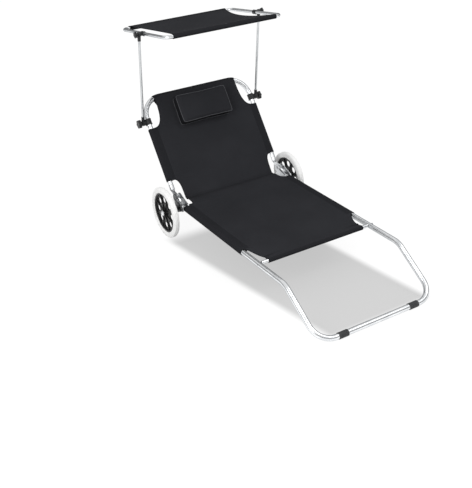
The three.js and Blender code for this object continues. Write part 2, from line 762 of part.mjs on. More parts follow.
// Seat cloth: panel with scooped corners, sleeves on the rails, hem round the cross tube, rear crease.
function seatCloth() {
  const level = bedHeight + clothLevel;
  const front = crossTubeDistance;
  const frontHalf = railX - frontInset;
  const creaseStart = Math.atan2(level - foldPoint.y, -creaseDistance - foldPoint.x);
  const rows = evenly(4)
    .slice(0, -1)
    .map((share) => ({
      crease: radians(creaseEnd) + (creaseStart - radians(creaseEnd)) * share,
      half: creaseHalf,
    }));
  crowded(4).forEach((q) => {
    rows.push({
      distance: creaseDistance + (seatSleeveStart - creaseDistance) * q,
      half: creaseHalf + (railX - creaseHalf) * scoop(q, hingeScoopShare),
    });
  });
  evenly(5).slice(1, -1).forEach((q) => {
    rows.push({ distance: seatSleeveStart + (seatSleeveEnd - seatSleeveStart) * q, half: railX });
  });
  crowded(4).reverse().forEach((q) => {
    rows.push({
      distance: front - (front - seatSleeveEnd) * q,
      half: frontHalf + (railX - frontHalf) * scoop(q, frontScoopShare),
    });
  });
  const share = (distance) => (distance - creaseDistance) / (front - creaseDistance);
  const height = (s, distance) => level - seatSag * sagging(s, share(distance));
  const surface = (s, row) => {
    if (row.crease === undefined) return vec(s * row.half, -row.distance, height(s, row.distance));
    return vec(
      s * row.half,
      foldPoint.x + creaseRadius * cos(row.crease),
      foldPoint.y + creaseRadius * sin(row.crease),
    );
  };
  const out = (row) =>
    row.crease === undefined ? vec(0, 0, 1) : vec(0, -cos(row.crease), -sin(row.crease));
  const seam = front - seatHem;
  const sides = [railX, -railX].map((x) => {
    const rear = vec(x, -seatSleeveStart, bedHeight);
    return sleeveAlong(rear, vec(x, -seatSleeveEnd, bedHeight), tubeRadius, tubeSides);
  });
  return join(
    sheet(rows.reverse(), clothColumns, surface, out),
    ...sides,
    sleeveAlong(
      vec(-frontHalf, -front, crossTubeHeight),
      vec(frontHalf, -front, crossTubeHeight),
      crossTubeRadius,
      slimSides,
    ),
    hemStrip(frontHalf, -front, crossTubeHeight, crossTubeRadius, -seam, (s) => height(s, seam)),
  );
}

add(bed, "seat_cloth", seatCloth(), blackCloth);

// Backrest, in its own frame: +Y up the backrest, +Z towards the sitter, origin on the fold axis.
function backrestPath() {
  const corners = [
    vec(railX, backrestTubeStart, backrestTubeLevel),
    vec(railX, backrestTop, backrestTubeLevel),
    vec(-railX, backrestTop, backrestTubeLevel),
    vec(-railX, backrestTubeStart, backrestTubeLevel),
  ];
  return new BentPath(corners, topCornerRadius);
}

function backrestTube() {
  return tube(backrestPath(), tubeRadius, tubeRadius - tubeWall);
}

// Toothed disc on the fold pin, with the plug that is pressed into the backrest tube.
function ratchetDisc() {
  const teeth = new THREE.Shape(
    Array.from({ length: 2 * ratchetTeeth }, (_, k) => {
      const radius = ratchetRadius - (k % 2 ? ratchetToothDepth : 0);
      const angle = (PI * k) / ratchetTeeth;
      return new THREE.Vector2(radius * cos(angle), radius * sin(angle));
    }),
  );
  const low = railX - ratchetThickness / 2;
  const high = railX + ratchetThickness / 2;
  const origin = new THREE.Vector2();
  const neckEnd = backrestTubeStart - tongueRadius - overrun;
  const tongue = roundedShape(
    [
      [origin, ratchetRadius - ratchetToothDepth - overrun],
      [new THREE.Vector2(neckEnd, backrestTubeLevel), tongueRadius],
    ],
    [],
  );
  const plugRadius = (tubeRadius - tubeWall) * boreShare - fit;
  const plug = tube(
    new BentPath(
      [
        vec(railX, backrestTubeStart - plugNeck, backrestTubeLevel),
        vec(railX, backrestTubeStart + plugInsert, backrestTubeLevel),
      ],
      0,
    ),
    plugRadius, 0, pinSides,
  );
  const hub = barX(railX - hingeHalf, railX + hingeHalf, 0, 0, pinHeadRadius);
  const bore = boreX(railX - tubeRadius, railX + tubeRadius, 0, 0, pinRadius + fit);
  return cut(join(plateX(teeth, low, high), plateX(tongue, low, high), plug, hub), bore);
}

// How far the back cloth has sagged from the plane of its edges.
const backLength = backrestTop - backClothStart;
const backSagAt = (s, along) => backSag * sagging(s, (along - backClothStart) / backLength);
const backLevel = backrestTubeLevel + clothLevel;

// Back cloth: panel with scooped edges, sleeves on the tube's sides and top, wide hem behind.
function backCloth() {
  const path = backrestPath();
  const firstHeld = path.stations.findIndex((p) => p.y > backrestTop - backGrip);
  const { x: topHalf, y: corner } = path.stations[firstHeld];
  const rows = crowded(5).map((q) => ({
    along: backClothStart + (backSleeveStart - backClothStart) * q,
    half: creaseHalf + (railX - creaseHalf) * scoop(q, hingeScoopShare),
  }));
  evenly(4).slice(1, -1).forEach((q) => {
    rows.push({ along: backSleeveStart + (backSleeveEnd - backSleeveStart) * q, half: railX });
  });
  crowded(5).reverse().forEach((q) => {
    rows.push({
      along: corner - (corner - backSleeveEnd) * q,
      half: topHalf + (railX - topHalf) * scoop(q, topScoopShare),
    });
  });
  rows.push({ along: backrestTop, half: railX - topCornerRadius });
  const height = (s, along) => backLevel - backSagAt(s, along);
  const surface = (s, row) => vec(s * row.half, row.along, height(s, row.along));
  const seam = backrestTop - rearFlap;
  const sides = [railX, -railX].map((x) => {
    const low = vec(x, backSleeveStart, backrestTubeLevel);
    return sleeveAlong(low, vec(x, backSleeveEnd, backrestTubeLevel), tubeRadius, tubeSides);
  });
  return join(
    sheet(rows, clothColumns, surface, () => vec(0, 0, 1)),
    ...sides,
    sleeveOn(path.part(firstHeld, path.steps - firstHeld), tubeRadius, tubeSides),
    hemStrip(
      railX - topCornerRadius, backrestTop, backrestTubeLevel, tubeRadius, seam, (s) => height(s, seam),
    ),
  );
}

// Pillow: a padded box with rounded corners, its faces crowned and its sides drawn in between the corners.
function pillow() {
  const sides = 24;
  const halfX = pillowWidth / 2;
  const halfY = pillowHeight / 2;
  // Shares of the outline and of the thickness, from the middle of the back to the middle of the front.
  const loops = [
    [0.5, 0], [0.9, 0], [0.99, 0.07], [0.975, 0.45], [1, 0.84], [0.97, 0.9], [0.82, 0.95], [0.45, 0.99],
  ];
  const outline = Array.from({ length: sides }, (_, k) => {
    const angle = (2 * PI * (k + 1 / 2)) / sides;
    const x = Math.sign(cos(angle)) * abs(cos(angle)) ** cornerShare;
    const y = Math.sign(sin(angle)) * abs(sin(angle)) ** cornerShare;
    return [x * (halfX - pillowPull * (1 - y * y)), y * (halfY - pillowPull * (1 - x * x))];
  });
  const rear = (x, y) =>
    backLevel + clothThickness + fit + backSag / 16 - backSagAt(x / halfX / 2, pillowMiddle + y);
  const place = ([x, y], [size, depth]) => {
    const base = rear(x * size, y * size);
    const height = backLevel + clothThickness + pillowThickness - base;
    return vec(x * size, pillowMiddle + y * size, base + height * depth);
  };
  const points = [
    place([0, 0], [0, 0]),
    ...loops.flatMap((loop) => outline.map((corner) => place(corner, loop))),
    place([0, 0], [0, 1]),
  ];
  const triangles = [];
  const last = points.length - 1;
  for (let k = 0; k < sides; k += 1) {
    const next = (k + 1) % sides;
    triangles.push(0, 1 + next, 1 + k);
    for (let loop = 0; loop < loops.length - 1; loop += 1) {
      const a = 1 + loop * sides;
      const b = a + sides;
      triangles.push(a + k, a + next, b + next, a + k, b + next, b + k);
    }
    triangles.push(last, last - sides + k, last - sides + next);
  }
  return new THREE.BufferGeometry()
    .setAttribute("position", new THREE.Float32BufferAttribute(points.flatMap((p) => p.toArray()), 3))
    .setIndex(triangles);
}

// Clamp round a tube along Y, with a boss towards the arm and a pocket for the bolt's head.
function tubeClamp(tubeX, along, level, radius, wall, boss, length) {
  const from = vec(tubeX, along - length / 2, level);
  const to = vec(tubeX, along + length / 2, level);
  const ring = tube(new BentPath([from, to], 0), radius + fit + wall, 0, tubeSides);
  const through = [from.clone().setY(from.y - overrun), to.clone().setY(to.y + overrun)];
  const bore = tube(new BentPath(through, 0), radius + fit, 0, tubeSides);
  const face = armFace - fit;
  const headFace = tubeX + radius + fit;
  return cut(
    join(ring, barX(tubeX, face, along, level, boss)),
    bore,
    boreX(tubeX, headFace + clampHeadThickness + fit, along, level, clampHeadRadius + fit),
    boreX(tubeX, face + overrun, along, level, boltRadius + fit, slimSides),
  );
}

// Bolt on a pivot: its head lies in the clamp, its thread in the knob.
function pivotBolt(tubeX, radius) {
  const head = tubeX + radius + fit;
  return join(
    barX(head, head + clampHeadThickness, 0, 0, clampHeadRadius),
    barX(head + fit, knobFace + knobBoltDepth, 0, 0, boltRadius, slimSides),
  );
}

// Knob with round lobes, a collar towards the arm and a blind hole.
function knob(radius, thickness) {
  const sides = 4 * knobLobes;
  const lobes = new THREE.Shape(
    Array.from({ length: sides }, (_, k) => {
      const angle = (2 * PI * k) / sides;
      const reach = radius + knobLobeDepth * cos(knobLobes * angle);
      return new THREE.Vector2(reach * cos(angle), reach * sin(angle));
    }),
  );
  const face = knobFace + fit;
  const head = face + knobCollarLength;
  const collar = barX(face, head + knobBevel, 0, 0, knobCollarRadius);
  return cut(
    join(plateX(lobes, head, head + thickness, knobBevel), collar),
    boreX(face - overrun, knobFace + knobBoltDepth + fit, 0, 0, boltRadius + fit, slimSides),
  );
}

// Moulded end of an arm: an eye on the pivot and a neck round the rod. way is 1 or -1 along the arm.
function armSocket(radius, along, way) {
  const eye = barX(armFace, knobFace, along, 0, radius, 16);
  const neckFrom = along + way * (radius - runningGap);
  const neckTo = along + way * (radius + socketGrip);
  const onArm = (y) => vec(armDistance, y, 0);
  const neck = tube(new BentPath([onArm(neckFrom), onArm(neckTo)], 0), socketNeckRadius, 0, pinSides);
  const seat = [onArm(along + way * (radius - fit)), onArm(neckTo + way * overrun)];
  const bore = tube(new BentPath(seat, 0), armRadius + fit, 0, pinSides);
  const boltHole = boreX(armFace - overrun, knobFace + overrun, along, 0, boltRadius + fit, slimSides);
  return cut(join(eye, neck), bore, boltHole);
}

function armRod() {
  const path = new BentPath(
    [vec(armDistance, lowerSocketRadius, 0), vec(armDistance, armLength - upperSocketRadius, 0)], 0,
  );
  return tube(path, armRadius, 0, slimSides);
}

// Canopy frame: one tube bent to a rounded rectangle, its ends meeting at the middle of the rear side.
function canopyPath() {
  const gap = frameJointGap / 2;
  return new BentPath(
    [
      vec(-gap, canopyEdge, 0),
      vec(-canopyHalf, canopyEdge, 0),
      vec(-canopyHalf, -canopyEdge, 0),
      vec(canopyHalf, -canopyEdge, 0),
      vec(canopyHalf, canopyEdge, 0),
      vec(gap, canopyEdge, 0),
    ],
    canopyCornerRadius,
  );
}

function canopyFrame() {
  return tube(canopyPath(), canopyTubeRadius, canopyTubeRadius - canopyTubeWall, slimSides);
}

// Plug that joins the two ends of the canopy tube inside.
function canopyJoiner() {
  const radius = (canopyTubeRadius - canopyTubeWall) * boreShare - fit;
  return barX(-joinerLength / 2, joinerLength / 2, canopyEdge, 0, radius, slimSides);
}

// Canopy cloth: panel with concave short edges, sleeves on the straight part of the long tubes, and hems.
function canopyCloth() {
  const level = canopyTubeRadius + clothGap;
  const half = canopyHalf - canopyCornerRadius;
  const rows = evenly(8).map((q) => ({
    y: canopyEdge * (2 * q - 1),
    half: half - canopyScoop * (1 - (2 * q - 1) ** 2),
  }));
  const height = (s, y) => level - canopySag * sagging(s, (y + canopyEdge) / canopyDepth);
  const surface = (s, row) => vec(s * row.half, row.y, height(s, row.y));
  const edges = [1, -1].flatMap((side) => {
    const seam = side * (canopyEdge - canopyHem);
    return [
      sleeveAlong(
        vec(-half, side * canopyEdge, 0), vec(half, side * canopyEdge, 0), canopyTubeRadius, slimSides,
      ),
      hemStrip(half - canopyHem / 2, side * canopyEdge, 0, canopyTubeRadius, seam, (s) => height(s, seam)),
    ];
  });
  return join(sheet(rows, clothColumns, surface, () => vec(0, 0, 1)), ...edges);
}

add(backrest, "backrest_tube", backrestTube(), aluminium);
add(backrest, "back_cloth", backCloth(), blackCloth);
add(backrest, "pillow", pillow(), blackCloth);
addPair(backrest, "ratchet_disc", ratchetDisc(), steel);
addPair(
  backrest, "lower_clamp",
  tubeClamp(railX, armPivotAlong, backrestTubeLevel, tubeRadius, clampWall, bossRadius, clampLength),
  blackPlastic,
);

addPair(arms, "lower_bolt", pivotBolt(railX, tubeRadius), steel);
addPair(arms, "lower_socket", armSocket(lowerSocketRadius, 0, 1), blackPlastic);
addPair(arms, "arm_rod", armRod(), aluminium);
addPair(arms, "upper_socket", armSocket(upperSocketRadius, armLength, -1), blackPlastic);
addPair(arms, "lower_knob", knob(knobRadius, knobThickness), blackPlastic);

addPair(canopy, "upper_bolt", pivotBolt(canopyHalf, canopyTubeRadius), steel);
addPair(canopy, "upper_knob", knob(upperKnobRadius, upperKnobThickness), blackPlastic);
add(canopy, "canopy_frame", canopyFrame(), aluminium);
add(canopy, "canopy_joiner", canopyJoiner(), steel);
add(canopy, "canopy_cloth", canopyCloth(), blackCloth);
addPair(
  canopy, "upper_clamp",
  tubeClamp(canopyHalf, 0, 0, canopyTubeRadius, upperClampWall, upperBossRadius, upperClampLength),
  blackPlastic,
);

// Moved so that the middle of the outline is on the axes and the feet and wheels stand on the floor.
lounger.updateMatrixWorld(true);
const extent = new THREE.Box3().setFromObject(lounger, true);
const middle = extent.getCenter(new THREE.Vector3());
lounger.position.set(-middle.x, -middle.y, -extent.min.z);

export default lounger;
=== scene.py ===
"""Looks of the folding sun lounger: tubes, fittings, wheels, cloth, pillow, canopy, floor, light and camera.

Shapes are worked out in millimetres in each sub-assembly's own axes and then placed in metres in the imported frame.
A profile is a list of points (x, r) to be turned about X; an outline is a list of points in the Y-Z plane.
"""

import json
import logging
import math
from collections.abc import Callable
from dataclasses import dataclass, field, replace
from enum import Enum

import bpy
import numpy as np
from mathutils import Matrix, Vector, geometry

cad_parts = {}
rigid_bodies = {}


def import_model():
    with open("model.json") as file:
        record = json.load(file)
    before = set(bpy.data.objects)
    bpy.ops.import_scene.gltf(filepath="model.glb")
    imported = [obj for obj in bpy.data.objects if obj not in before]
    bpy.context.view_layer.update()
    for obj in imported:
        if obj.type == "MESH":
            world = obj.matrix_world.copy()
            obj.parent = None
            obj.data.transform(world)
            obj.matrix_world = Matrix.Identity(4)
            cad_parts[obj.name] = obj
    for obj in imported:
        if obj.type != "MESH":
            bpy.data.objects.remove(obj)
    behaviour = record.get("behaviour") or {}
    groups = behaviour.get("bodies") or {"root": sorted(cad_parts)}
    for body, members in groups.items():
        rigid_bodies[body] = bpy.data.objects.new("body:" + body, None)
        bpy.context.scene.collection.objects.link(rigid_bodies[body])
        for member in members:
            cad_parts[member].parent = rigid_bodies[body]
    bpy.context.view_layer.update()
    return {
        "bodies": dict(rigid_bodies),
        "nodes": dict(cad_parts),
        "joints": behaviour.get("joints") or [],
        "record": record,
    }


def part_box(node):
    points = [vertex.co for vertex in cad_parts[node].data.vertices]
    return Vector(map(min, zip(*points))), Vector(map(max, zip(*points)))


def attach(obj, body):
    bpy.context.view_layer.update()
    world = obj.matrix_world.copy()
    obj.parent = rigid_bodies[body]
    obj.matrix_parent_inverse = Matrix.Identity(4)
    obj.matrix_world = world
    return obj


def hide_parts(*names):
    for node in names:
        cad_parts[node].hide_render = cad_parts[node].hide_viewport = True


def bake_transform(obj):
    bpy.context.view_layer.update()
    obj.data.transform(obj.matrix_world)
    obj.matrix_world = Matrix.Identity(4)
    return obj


LOG = logging.getLogger("sun_lounger")
Value = float | tuple | bpy.types.NodeSocket
MM = 0.001
QUARTER, FULL = math.pi / 2, 2 * math.pi
WHITE = (1.0, 1.0, 1.0, 1.0)
X_WAY, Z_WAY = (1.0, 0.0, 0.0), (0.0, 0.0, 1.0)

# Sizes that several sub-assemblies share, in millimetres and degrees.
RAIL_X, TUBE, TUBE_WALL, FIT = 305.0, 12.5, 1.4, 0.3
FOLD, RIVET, AXLE = (-14.0, 200.0), (-82.0, 172.0), (0.0, 130.0)
AXLE_BORE, RIVET_BORE, FOLD_BORE = 6.3, 3.3, 5.3
BACK_TOP, BACK_BEND, BACK_TUBE_LEVEL = 526.0, 100.0, -28.0
ARM_PIVOT, ARM_LENGTH, CLAMP_FACE = 411.0, 464.0, 327.5
CANOPY_TUBE, CANOPY_EDGE = 8.0, 242.0
RECLINE, ARM_ANGLE, CANOPY_ANGLE = 54.0, 43.0, -104.0
WRAP, CANOPY_WRAP = 14.7, 10.2
UNDER_PANEL, UNSEWN, WELD = 1.5, 99.0, 0.002


class Slot(str, Enum):
    """The record's material slots."""

    TUBE = "aluminium_tube"
    STEEL = "steel_fittings"
    PLASTIC = "black_plastic"
    RUBBER = "black_rubber"
    TYRE = "pale_tyre"
    CLOTH = "cloth"
    PILLOW = "pillow_cloth"


class Side(Enum):
    """The two sides of the lounger; the left is on +X."""

    LEFT = 1
    RIGHT = -1

    @property
    def word(self) -> str:
        """The side's name as the nodes write it."""
        return self.name.lower()


# ---------------------------------------------------------------- shapes


@dataclass
class Surface:
    """Points in millimetres, faces as corner indices, and two lengths along the surface for each face corner."""

    points: np.ndarray
    faces: np.ndarray
    lengths: np.ndarray
    seam: np.ndarray | None = None
    doubled: np.ndarray | None = None

    def volume(self) -> float:
        """Six times the signed volume: a . (b x c) + a . (c x d), added up over the faces a, b, c, d."""
        a, b, c, d = (self.points[self.faces[:, k]] for k in range(4))
        return float((a * (np.cross(b, c) + np.cross(c, d))).sum())

    def outwards(self) -> "Surface":
        """The same closed surface with its faces turned to point out of it."""
        return self if self.volume() > 0 else self.flipped()

    def flipped(self) -> "Surface":
        """The same surface with each face turned round."""
        return replace(self, faces=self.faces[:, ::-1], lengths=self.lengths[:, ::-1])

    def on(self, side: Side) -> "Surface":
        """The surface as it is on the left, or its mirror image x -> -x on the right."""
        return self if side is Side.LEFT else replace(self.flipped(), points=self.points * (-1, 1, 1))

    def moved(self, x: float = 0.0, y: float = 0.0, z: float = 0.0) -> "Surface":
        """The surface moved by (x, y, z) millimetres."""
        return replace(self, points=self.points + (x, y, z))

    def turned_x(self, degrees: float) -> "Surface":
        """The surface turned about the X axis by an angle in degrees."""
        return replace(self, points=self.points @ turn_x(degrees).T)

    def marked(self, seam: float | np.ndarray, doubled: float | np.ndarray) -> "Surface":
        """The surface with each point's distance to the nearest sewn line, and its share of darkening, for cloth in two
        layers and as painted shade in the crease and on the pillow's side walls.
        """
        full = np.zeros(len(self.points))
        return replace(self, seam=full + np.ravel(seam), doubled=full + np.ravel(doubled))


def turn_x(degrees: float) -> np.ndarray:
    """The matrix that turns a point about the X axis."""
    c, s = math.cos(math.radians(degrees)), math.sin(math.radians(degrees))
    return np.array([[1, 0, 0], [0, c, -s], [0, s, c]])


def spread(x: float | np.ndarray, y: float | np.ndarray, z: float | np.ndarray) -> np.ndarray:
    """Points (x, y, z) from coordinates that are stretched to one another's shape."""
    return np.stack(np.broadcast_arrays(x, y, z), axis=-1).astype(float)


def around(sides: int) -> np.ndarray:
    """Angles all round, evenly spaced, without the last that would repeat the first."""
    return np.linspace(0, FULL, sides, endpoint=False)


def joined(*parts: Surface) -> Surface:
    """Several surfaces as one, point numbers shifted so that each keeps its own faces.

    Args:
        parts: the surfaces; one without marks counts as unsewn single cloth.
    Returns:
        The joined surface.
    """
    starts = np.cumsum([0] + [len(p.points) for p in parts[:-1]])
    parts = [p if p.seam is not None else p.marked(UNSEWN, 0) for p in parts]
    names = ("points", "lengths", "seam", "doubled")
    whole = {name: np.concatenate([getattr(p, name) for p in parts]) for name in names}
    return Surface(faces=np.concatenate([p.faces + s for p, s in zip(parts, starts)]), **whole)


def lattice(points: np.ndarray, wrap_rows: bool = False, wrap_columns: bool = False) -> Surface:
    """A grid of points as a surface; the lengths are running distances, each step the longest there.

    Args:
        points: rows x columns x 3, in millimetres.
        wrap_rows: joins the last row to the first.
        wrap_columns: joins the last column to the first.
    Returns:
        The surface, its faces turning from columns to rows.
    """
    rows, columns = points.shape[:2]
    base = points.reshape(-1, 3).astype(float)
    index = np.arange(rows * columns).reshape(rows, columns)
    if wrap_rows:
        index = np.vstack([index, index[:1]])
    if wrap_columns:
        index = np.hstack([index, index[:, :1]])
    grid = base[index]
    along, across = (np.r_[0, np.cumsum(np.linalg.norm(np.diff(grid, axis=k), axis=2).max(1 - k))] for k in (0, 1))
    chart = np.stack(np.broadcast_arrays(across[None, :], along[:, None]), axis=2)
    low, high = slice(None, -1), slice(1, None)
    corners = [(low, low), (low, high), (high, high), (high, low)]
    faces = np.stack([index[c].ravel() for c in corners], axis=1)
    return Surface(base, faces, np.stack([chart[c].reshape(-1, 2) for c in corners], axis=1))


def eased(profile: list | np.ndarray, size: float, steps: int = 3, closed: bool = False) -> np.ndarray:
    """A polyline with each corner p rounded by the curve (1-t)^2 a + 2t(1-t) p + t^2 b, a and b a short way off it.

    Args:
        profile: points x 2.
        size: the most that a corner is cut back, in millimetres.
        steps: points per corner, less one.
        closed: whether the last point joins the first.
    Returns:
        The rounded polyline.
    """
    p = np.asarray(profile, float)
    ways = [np.roll(p, 1, 0) - p, np.roll(p, -1, 0) - p]
    far = [np.linalg.norm(way, axis=1)[:, None] for way in ways]
    cut = np.minimum(size, 0.45 * np.minimum(*far))
    a, b = (p + way / np.maximum(length, 1e-9) * cut for way, length in zip(ways, far))
    t = np.linspace(0, 1, steps + 1)[None, :, None]
    curve = (1 - t) ** 2 * a[:, None] + 2 * t * (1 - t) * p[:, None] + t**2 * b[:, None]
    return curve.reshape(-1, 2) if closed else np.concatenate([p[:1], curve[1:-1].reshape(-1, 2), p[-1:]])


def even(half: list) -> list:
    """A profile from its right half: the half's mirror image x -> -x, then the half in reverse."""
    return [(-a, b) for a, b in half] + half[::-1]


def turned(profile: list, ease: float = 0.5, sides: int = 48, closed: bool = False,
           lobes: Callable[[np.ndarray, np.ndarray], np.ndarray] | None = None) -> Surface:
    """A shape turned on a lathe about X: (x, r cos a, r sin a), for a profile of (x, r) and angles a all round.

    Args:
        profile: (x, r) points in millimetres; an open profile starts and ends at r = 0.
        ease: rounding of its corners, in millimetres.
        sides: points round the circle.
        closed: whether the profile is a ring's closed section.
        lobes: a function of (r, a) that gives the radius of a shape that isn't round.
    Returns:
        The closed surface, facing outwards.
    """
    line = eased(profile, ease, closed=closed)
    angle = around(sides)
    radius = lobes(line[:, 1:], angle[None, :]) if lobes else line[:, 1:]
    grid = spread(line[:, :1], radius * np.cos(angle), radius * np.sin(angle))
    return lattice(grid, wrap_rows=closed, wrap_columns=True).outwards()


def bent_path(corners: list, radii: list, degrees: float = 5.0) -> np.ndarray:
    """Straights with round bends: at a corner the line runs on an arc c + r (u cos a + v sin a) that touches both.

    Args:
        corners: points (x, y, z) in millimetres.
        radii: the bend's radius at each corner; 0 keeps a point.
        degrees: the step along a bend.
    Returns:
        stations x 3.
    """
    p = [np.array(c, float) for c in corners]
    out = [p[0][None]]
    for before, here, after, r in zip(p, p[1:], p[2:], radii[1:-1]):
        d1, d2 = (here - before) / np.linalg.norm(here - before), (after - here) / np.linalg.norm(after - here)
        turn = math.acos(float(np.clip(d1 @ d2, -1, 1)))
        start = here - d1 * r * math.tan(turn / 2)
        normal = np.cross(d1, d2) / np.linalg.norm(np.cross(d1, d2))
        inward = np.cross(normal, d1)
        a = np.linspace(0, turn, max(2, round(math.degrees(turn) / degrees)) + 1)[:, None]
        out.append(start + inward * r + r * (-inward * np.cos(a) + d1 * np.sin(a)))
    return np.concatenate(out + [p[-1][None]])


def rings(across: np.ndarray, up: np.ndarray, sides: int) -> np.ndarray:
    """Unit circles across cos a + up sin a, one for each station, stations x sides x 3."""
    a = around(sides)[None, :, None]
    return across[:, None] * np.cos(a) + up[:, None] * np.sin(a)


def swept_tube(stations: np.ndarray, outer: float, inner: float, hint: tuple, sides: int = 32) -> Surface:
    """A tube p + r (across cos a + up sin a) along a path; across is carried along the path with no twist.

    Args:
        stations: the path, stations x 3, in millimetres.
        outer: outer radius.
        inner: the bore's radius.
        hint: the direction that the first cross direction lies nearest to.
        sides: points round the tube.
    Returns:
        The closed surface, facing outwards, its outside and bore joined by rounded end rings.
    """
    ease = (outer - inner) / 3
    first, last = stations[1] - stations[0], stations[-2] - stations[-1]
    first, last = first / np.linalg.norm(first) * ease, last / np.linalg.norm(last) * ease
    path = np.concatenate([stations[:1], stations[:1] + first, stations[1:-1], stations[-1:] + last, stations[-1:]])
    tangent = np.gradient(path, axis=0)
    tangent /= np.linalg.norm(tangent, axis=1)[:, None]
    across, way = [], np.array(hint, float)
    for t in tangent:
        way = way - (way @ t) * t
        way = way / np.linalg.norm(way)
        across.append(way)
    ring = rings(np.array(across), np.cross(tangent, across), sides)
    outside, inside = np.full(len(path), outer), np.full(len(path), inner)
    outside[[0, -1]] -= ease
    inside[[0, -1]] += ease
    walls = [path[:, None] + ring * radius[:, None, None] for radius in (outside, inside)]
    return lattice(np.concatenate([walls[0], walls[1][::-1]]), wrap_rows=True, wrap_columns=True).outwards()


def wrapped_outline(circles: list, step: float = 6.0) -> np.ndarray:
    """The outline round circles given anticlockwise: arcs joined by the straights that touch them from outside.

    Args:
        circles: (y, z, radius) for each, in millimetres.
        step: degrees between the points of an arc.
    Returns:
        points x 2.
    """
    def turn_from(a: tuple, b: tuple) -> float:
        """The angle at which the straight from circle a to circle b leaves a."""
        way = (b[0] - a[0], b[1] - a[1])
        return math.atan2(way[1], way[0]) - math.acos((a[2] - b[2]) / math.hypot(*way))

    out = []
    for i, c in enumerate(circles):
        low, high = turn_from(circles[i - 1], c), turn_from(c, circles[(i + 1) % len(circles)])
        high = low + (high - low) % FULL
        a = np.linspace(low, high, max(3, int(math.degrees(high - low) / step)))
        out.append(np.stack([c[0] + c[2] * np.cos(a), c[1] + c[2] * np.sin(a)], 1))
    return np.concatenate(out)


def circle(y: float, z: float, radius: float, sides: int = 32) -> np.ndarray:
    """A circle's points (y + r cos a, z + r sin a)."""
    a = around(sides)
    return np.stack([y + radius * np.cos(a), z + radius * np.sin(a)], 1)


def stamped(outline: np.ndarray, holes: list, low: float, high: float) -> Surface:
    """A flat plate between x = low and x = high: two filled faces, and walls along the outline and each hole.

    Args:
        outline: points x 2, anticlockwise in the Y-Z plane.
        holes: outlines of the holes.
        low: inner face.
        high: outer face.
    Returns:
        The closed surface; its filled faces are triangles with one corner repeated.
    """
    loops = [outline, *[h[::-1] for h in holes]]
    flat = np.concatenate(loops)
    fill = np.array(geometry.tessellate_polygon([[Vector((*p, 0)) for p in loop] for loop in loops]))
    a, b, c = (flat[fill[:, k]] for k in range(3))
    clockwise = ((b - a)[:, 0] * (c - a)[:, 1] - (b - a)[:, 1] * (c - a)[:, 0]) < 0
    fill[clockwise] = fill[clockwise][:, ::-1]
    n = len(flat)
    points = np.concatenate([np.c_[np.full(n, x), flat] for x in (high, low)])
    top = np.c_[fill, fill[:, 2]]
    faces, start = [top, (top + n)[:, ::-1]], 0
    for loop in loops:
        i = np.arange(len(loop))
        j = (i + 1) % len(loop)
        faces.append(np.stack([i, i + n, j + n, j], 1) + start)
        start += len(loop)
    faces = np.concatenate(faces)
    return Surface(points, faces, points[faces][:, :, 1:]).outwards()


def hang(sag: float, s: float | np.ndarray, t: float | np.ndarray) -> np.ndarray:
    """How far a panel hangs, sag (1 - s^2)(1 - (2t - 1)^2), s from the middle to the sides and t along it."""
    return sag * (1 - s**2) * (1 - (2 * t - 1) ** 2)


@dataclass(frozen=True)
class Placement:
    """Where a sub-assembly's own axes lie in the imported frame, in millimetres."""

    turn: np.ndarray
    origin: np.ndarray

    def inside(self, degrees: float, origin: tuple) -> "Placement":
        """The axes of something turned about X by degrees and set at origin in these axes."""
        return Placement(self.turn @ turn_x(degrees), self.origin + self.turn @ np.array(origin, float))

    def metres(self, points: np.ndarray) -> np.ndarray:
        """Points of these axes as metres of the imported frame: (turn p + origin) / 1000."""
        return (points @ self.turn.T + self.origin) * MM


# ---------------------------------------------------------------- finishes


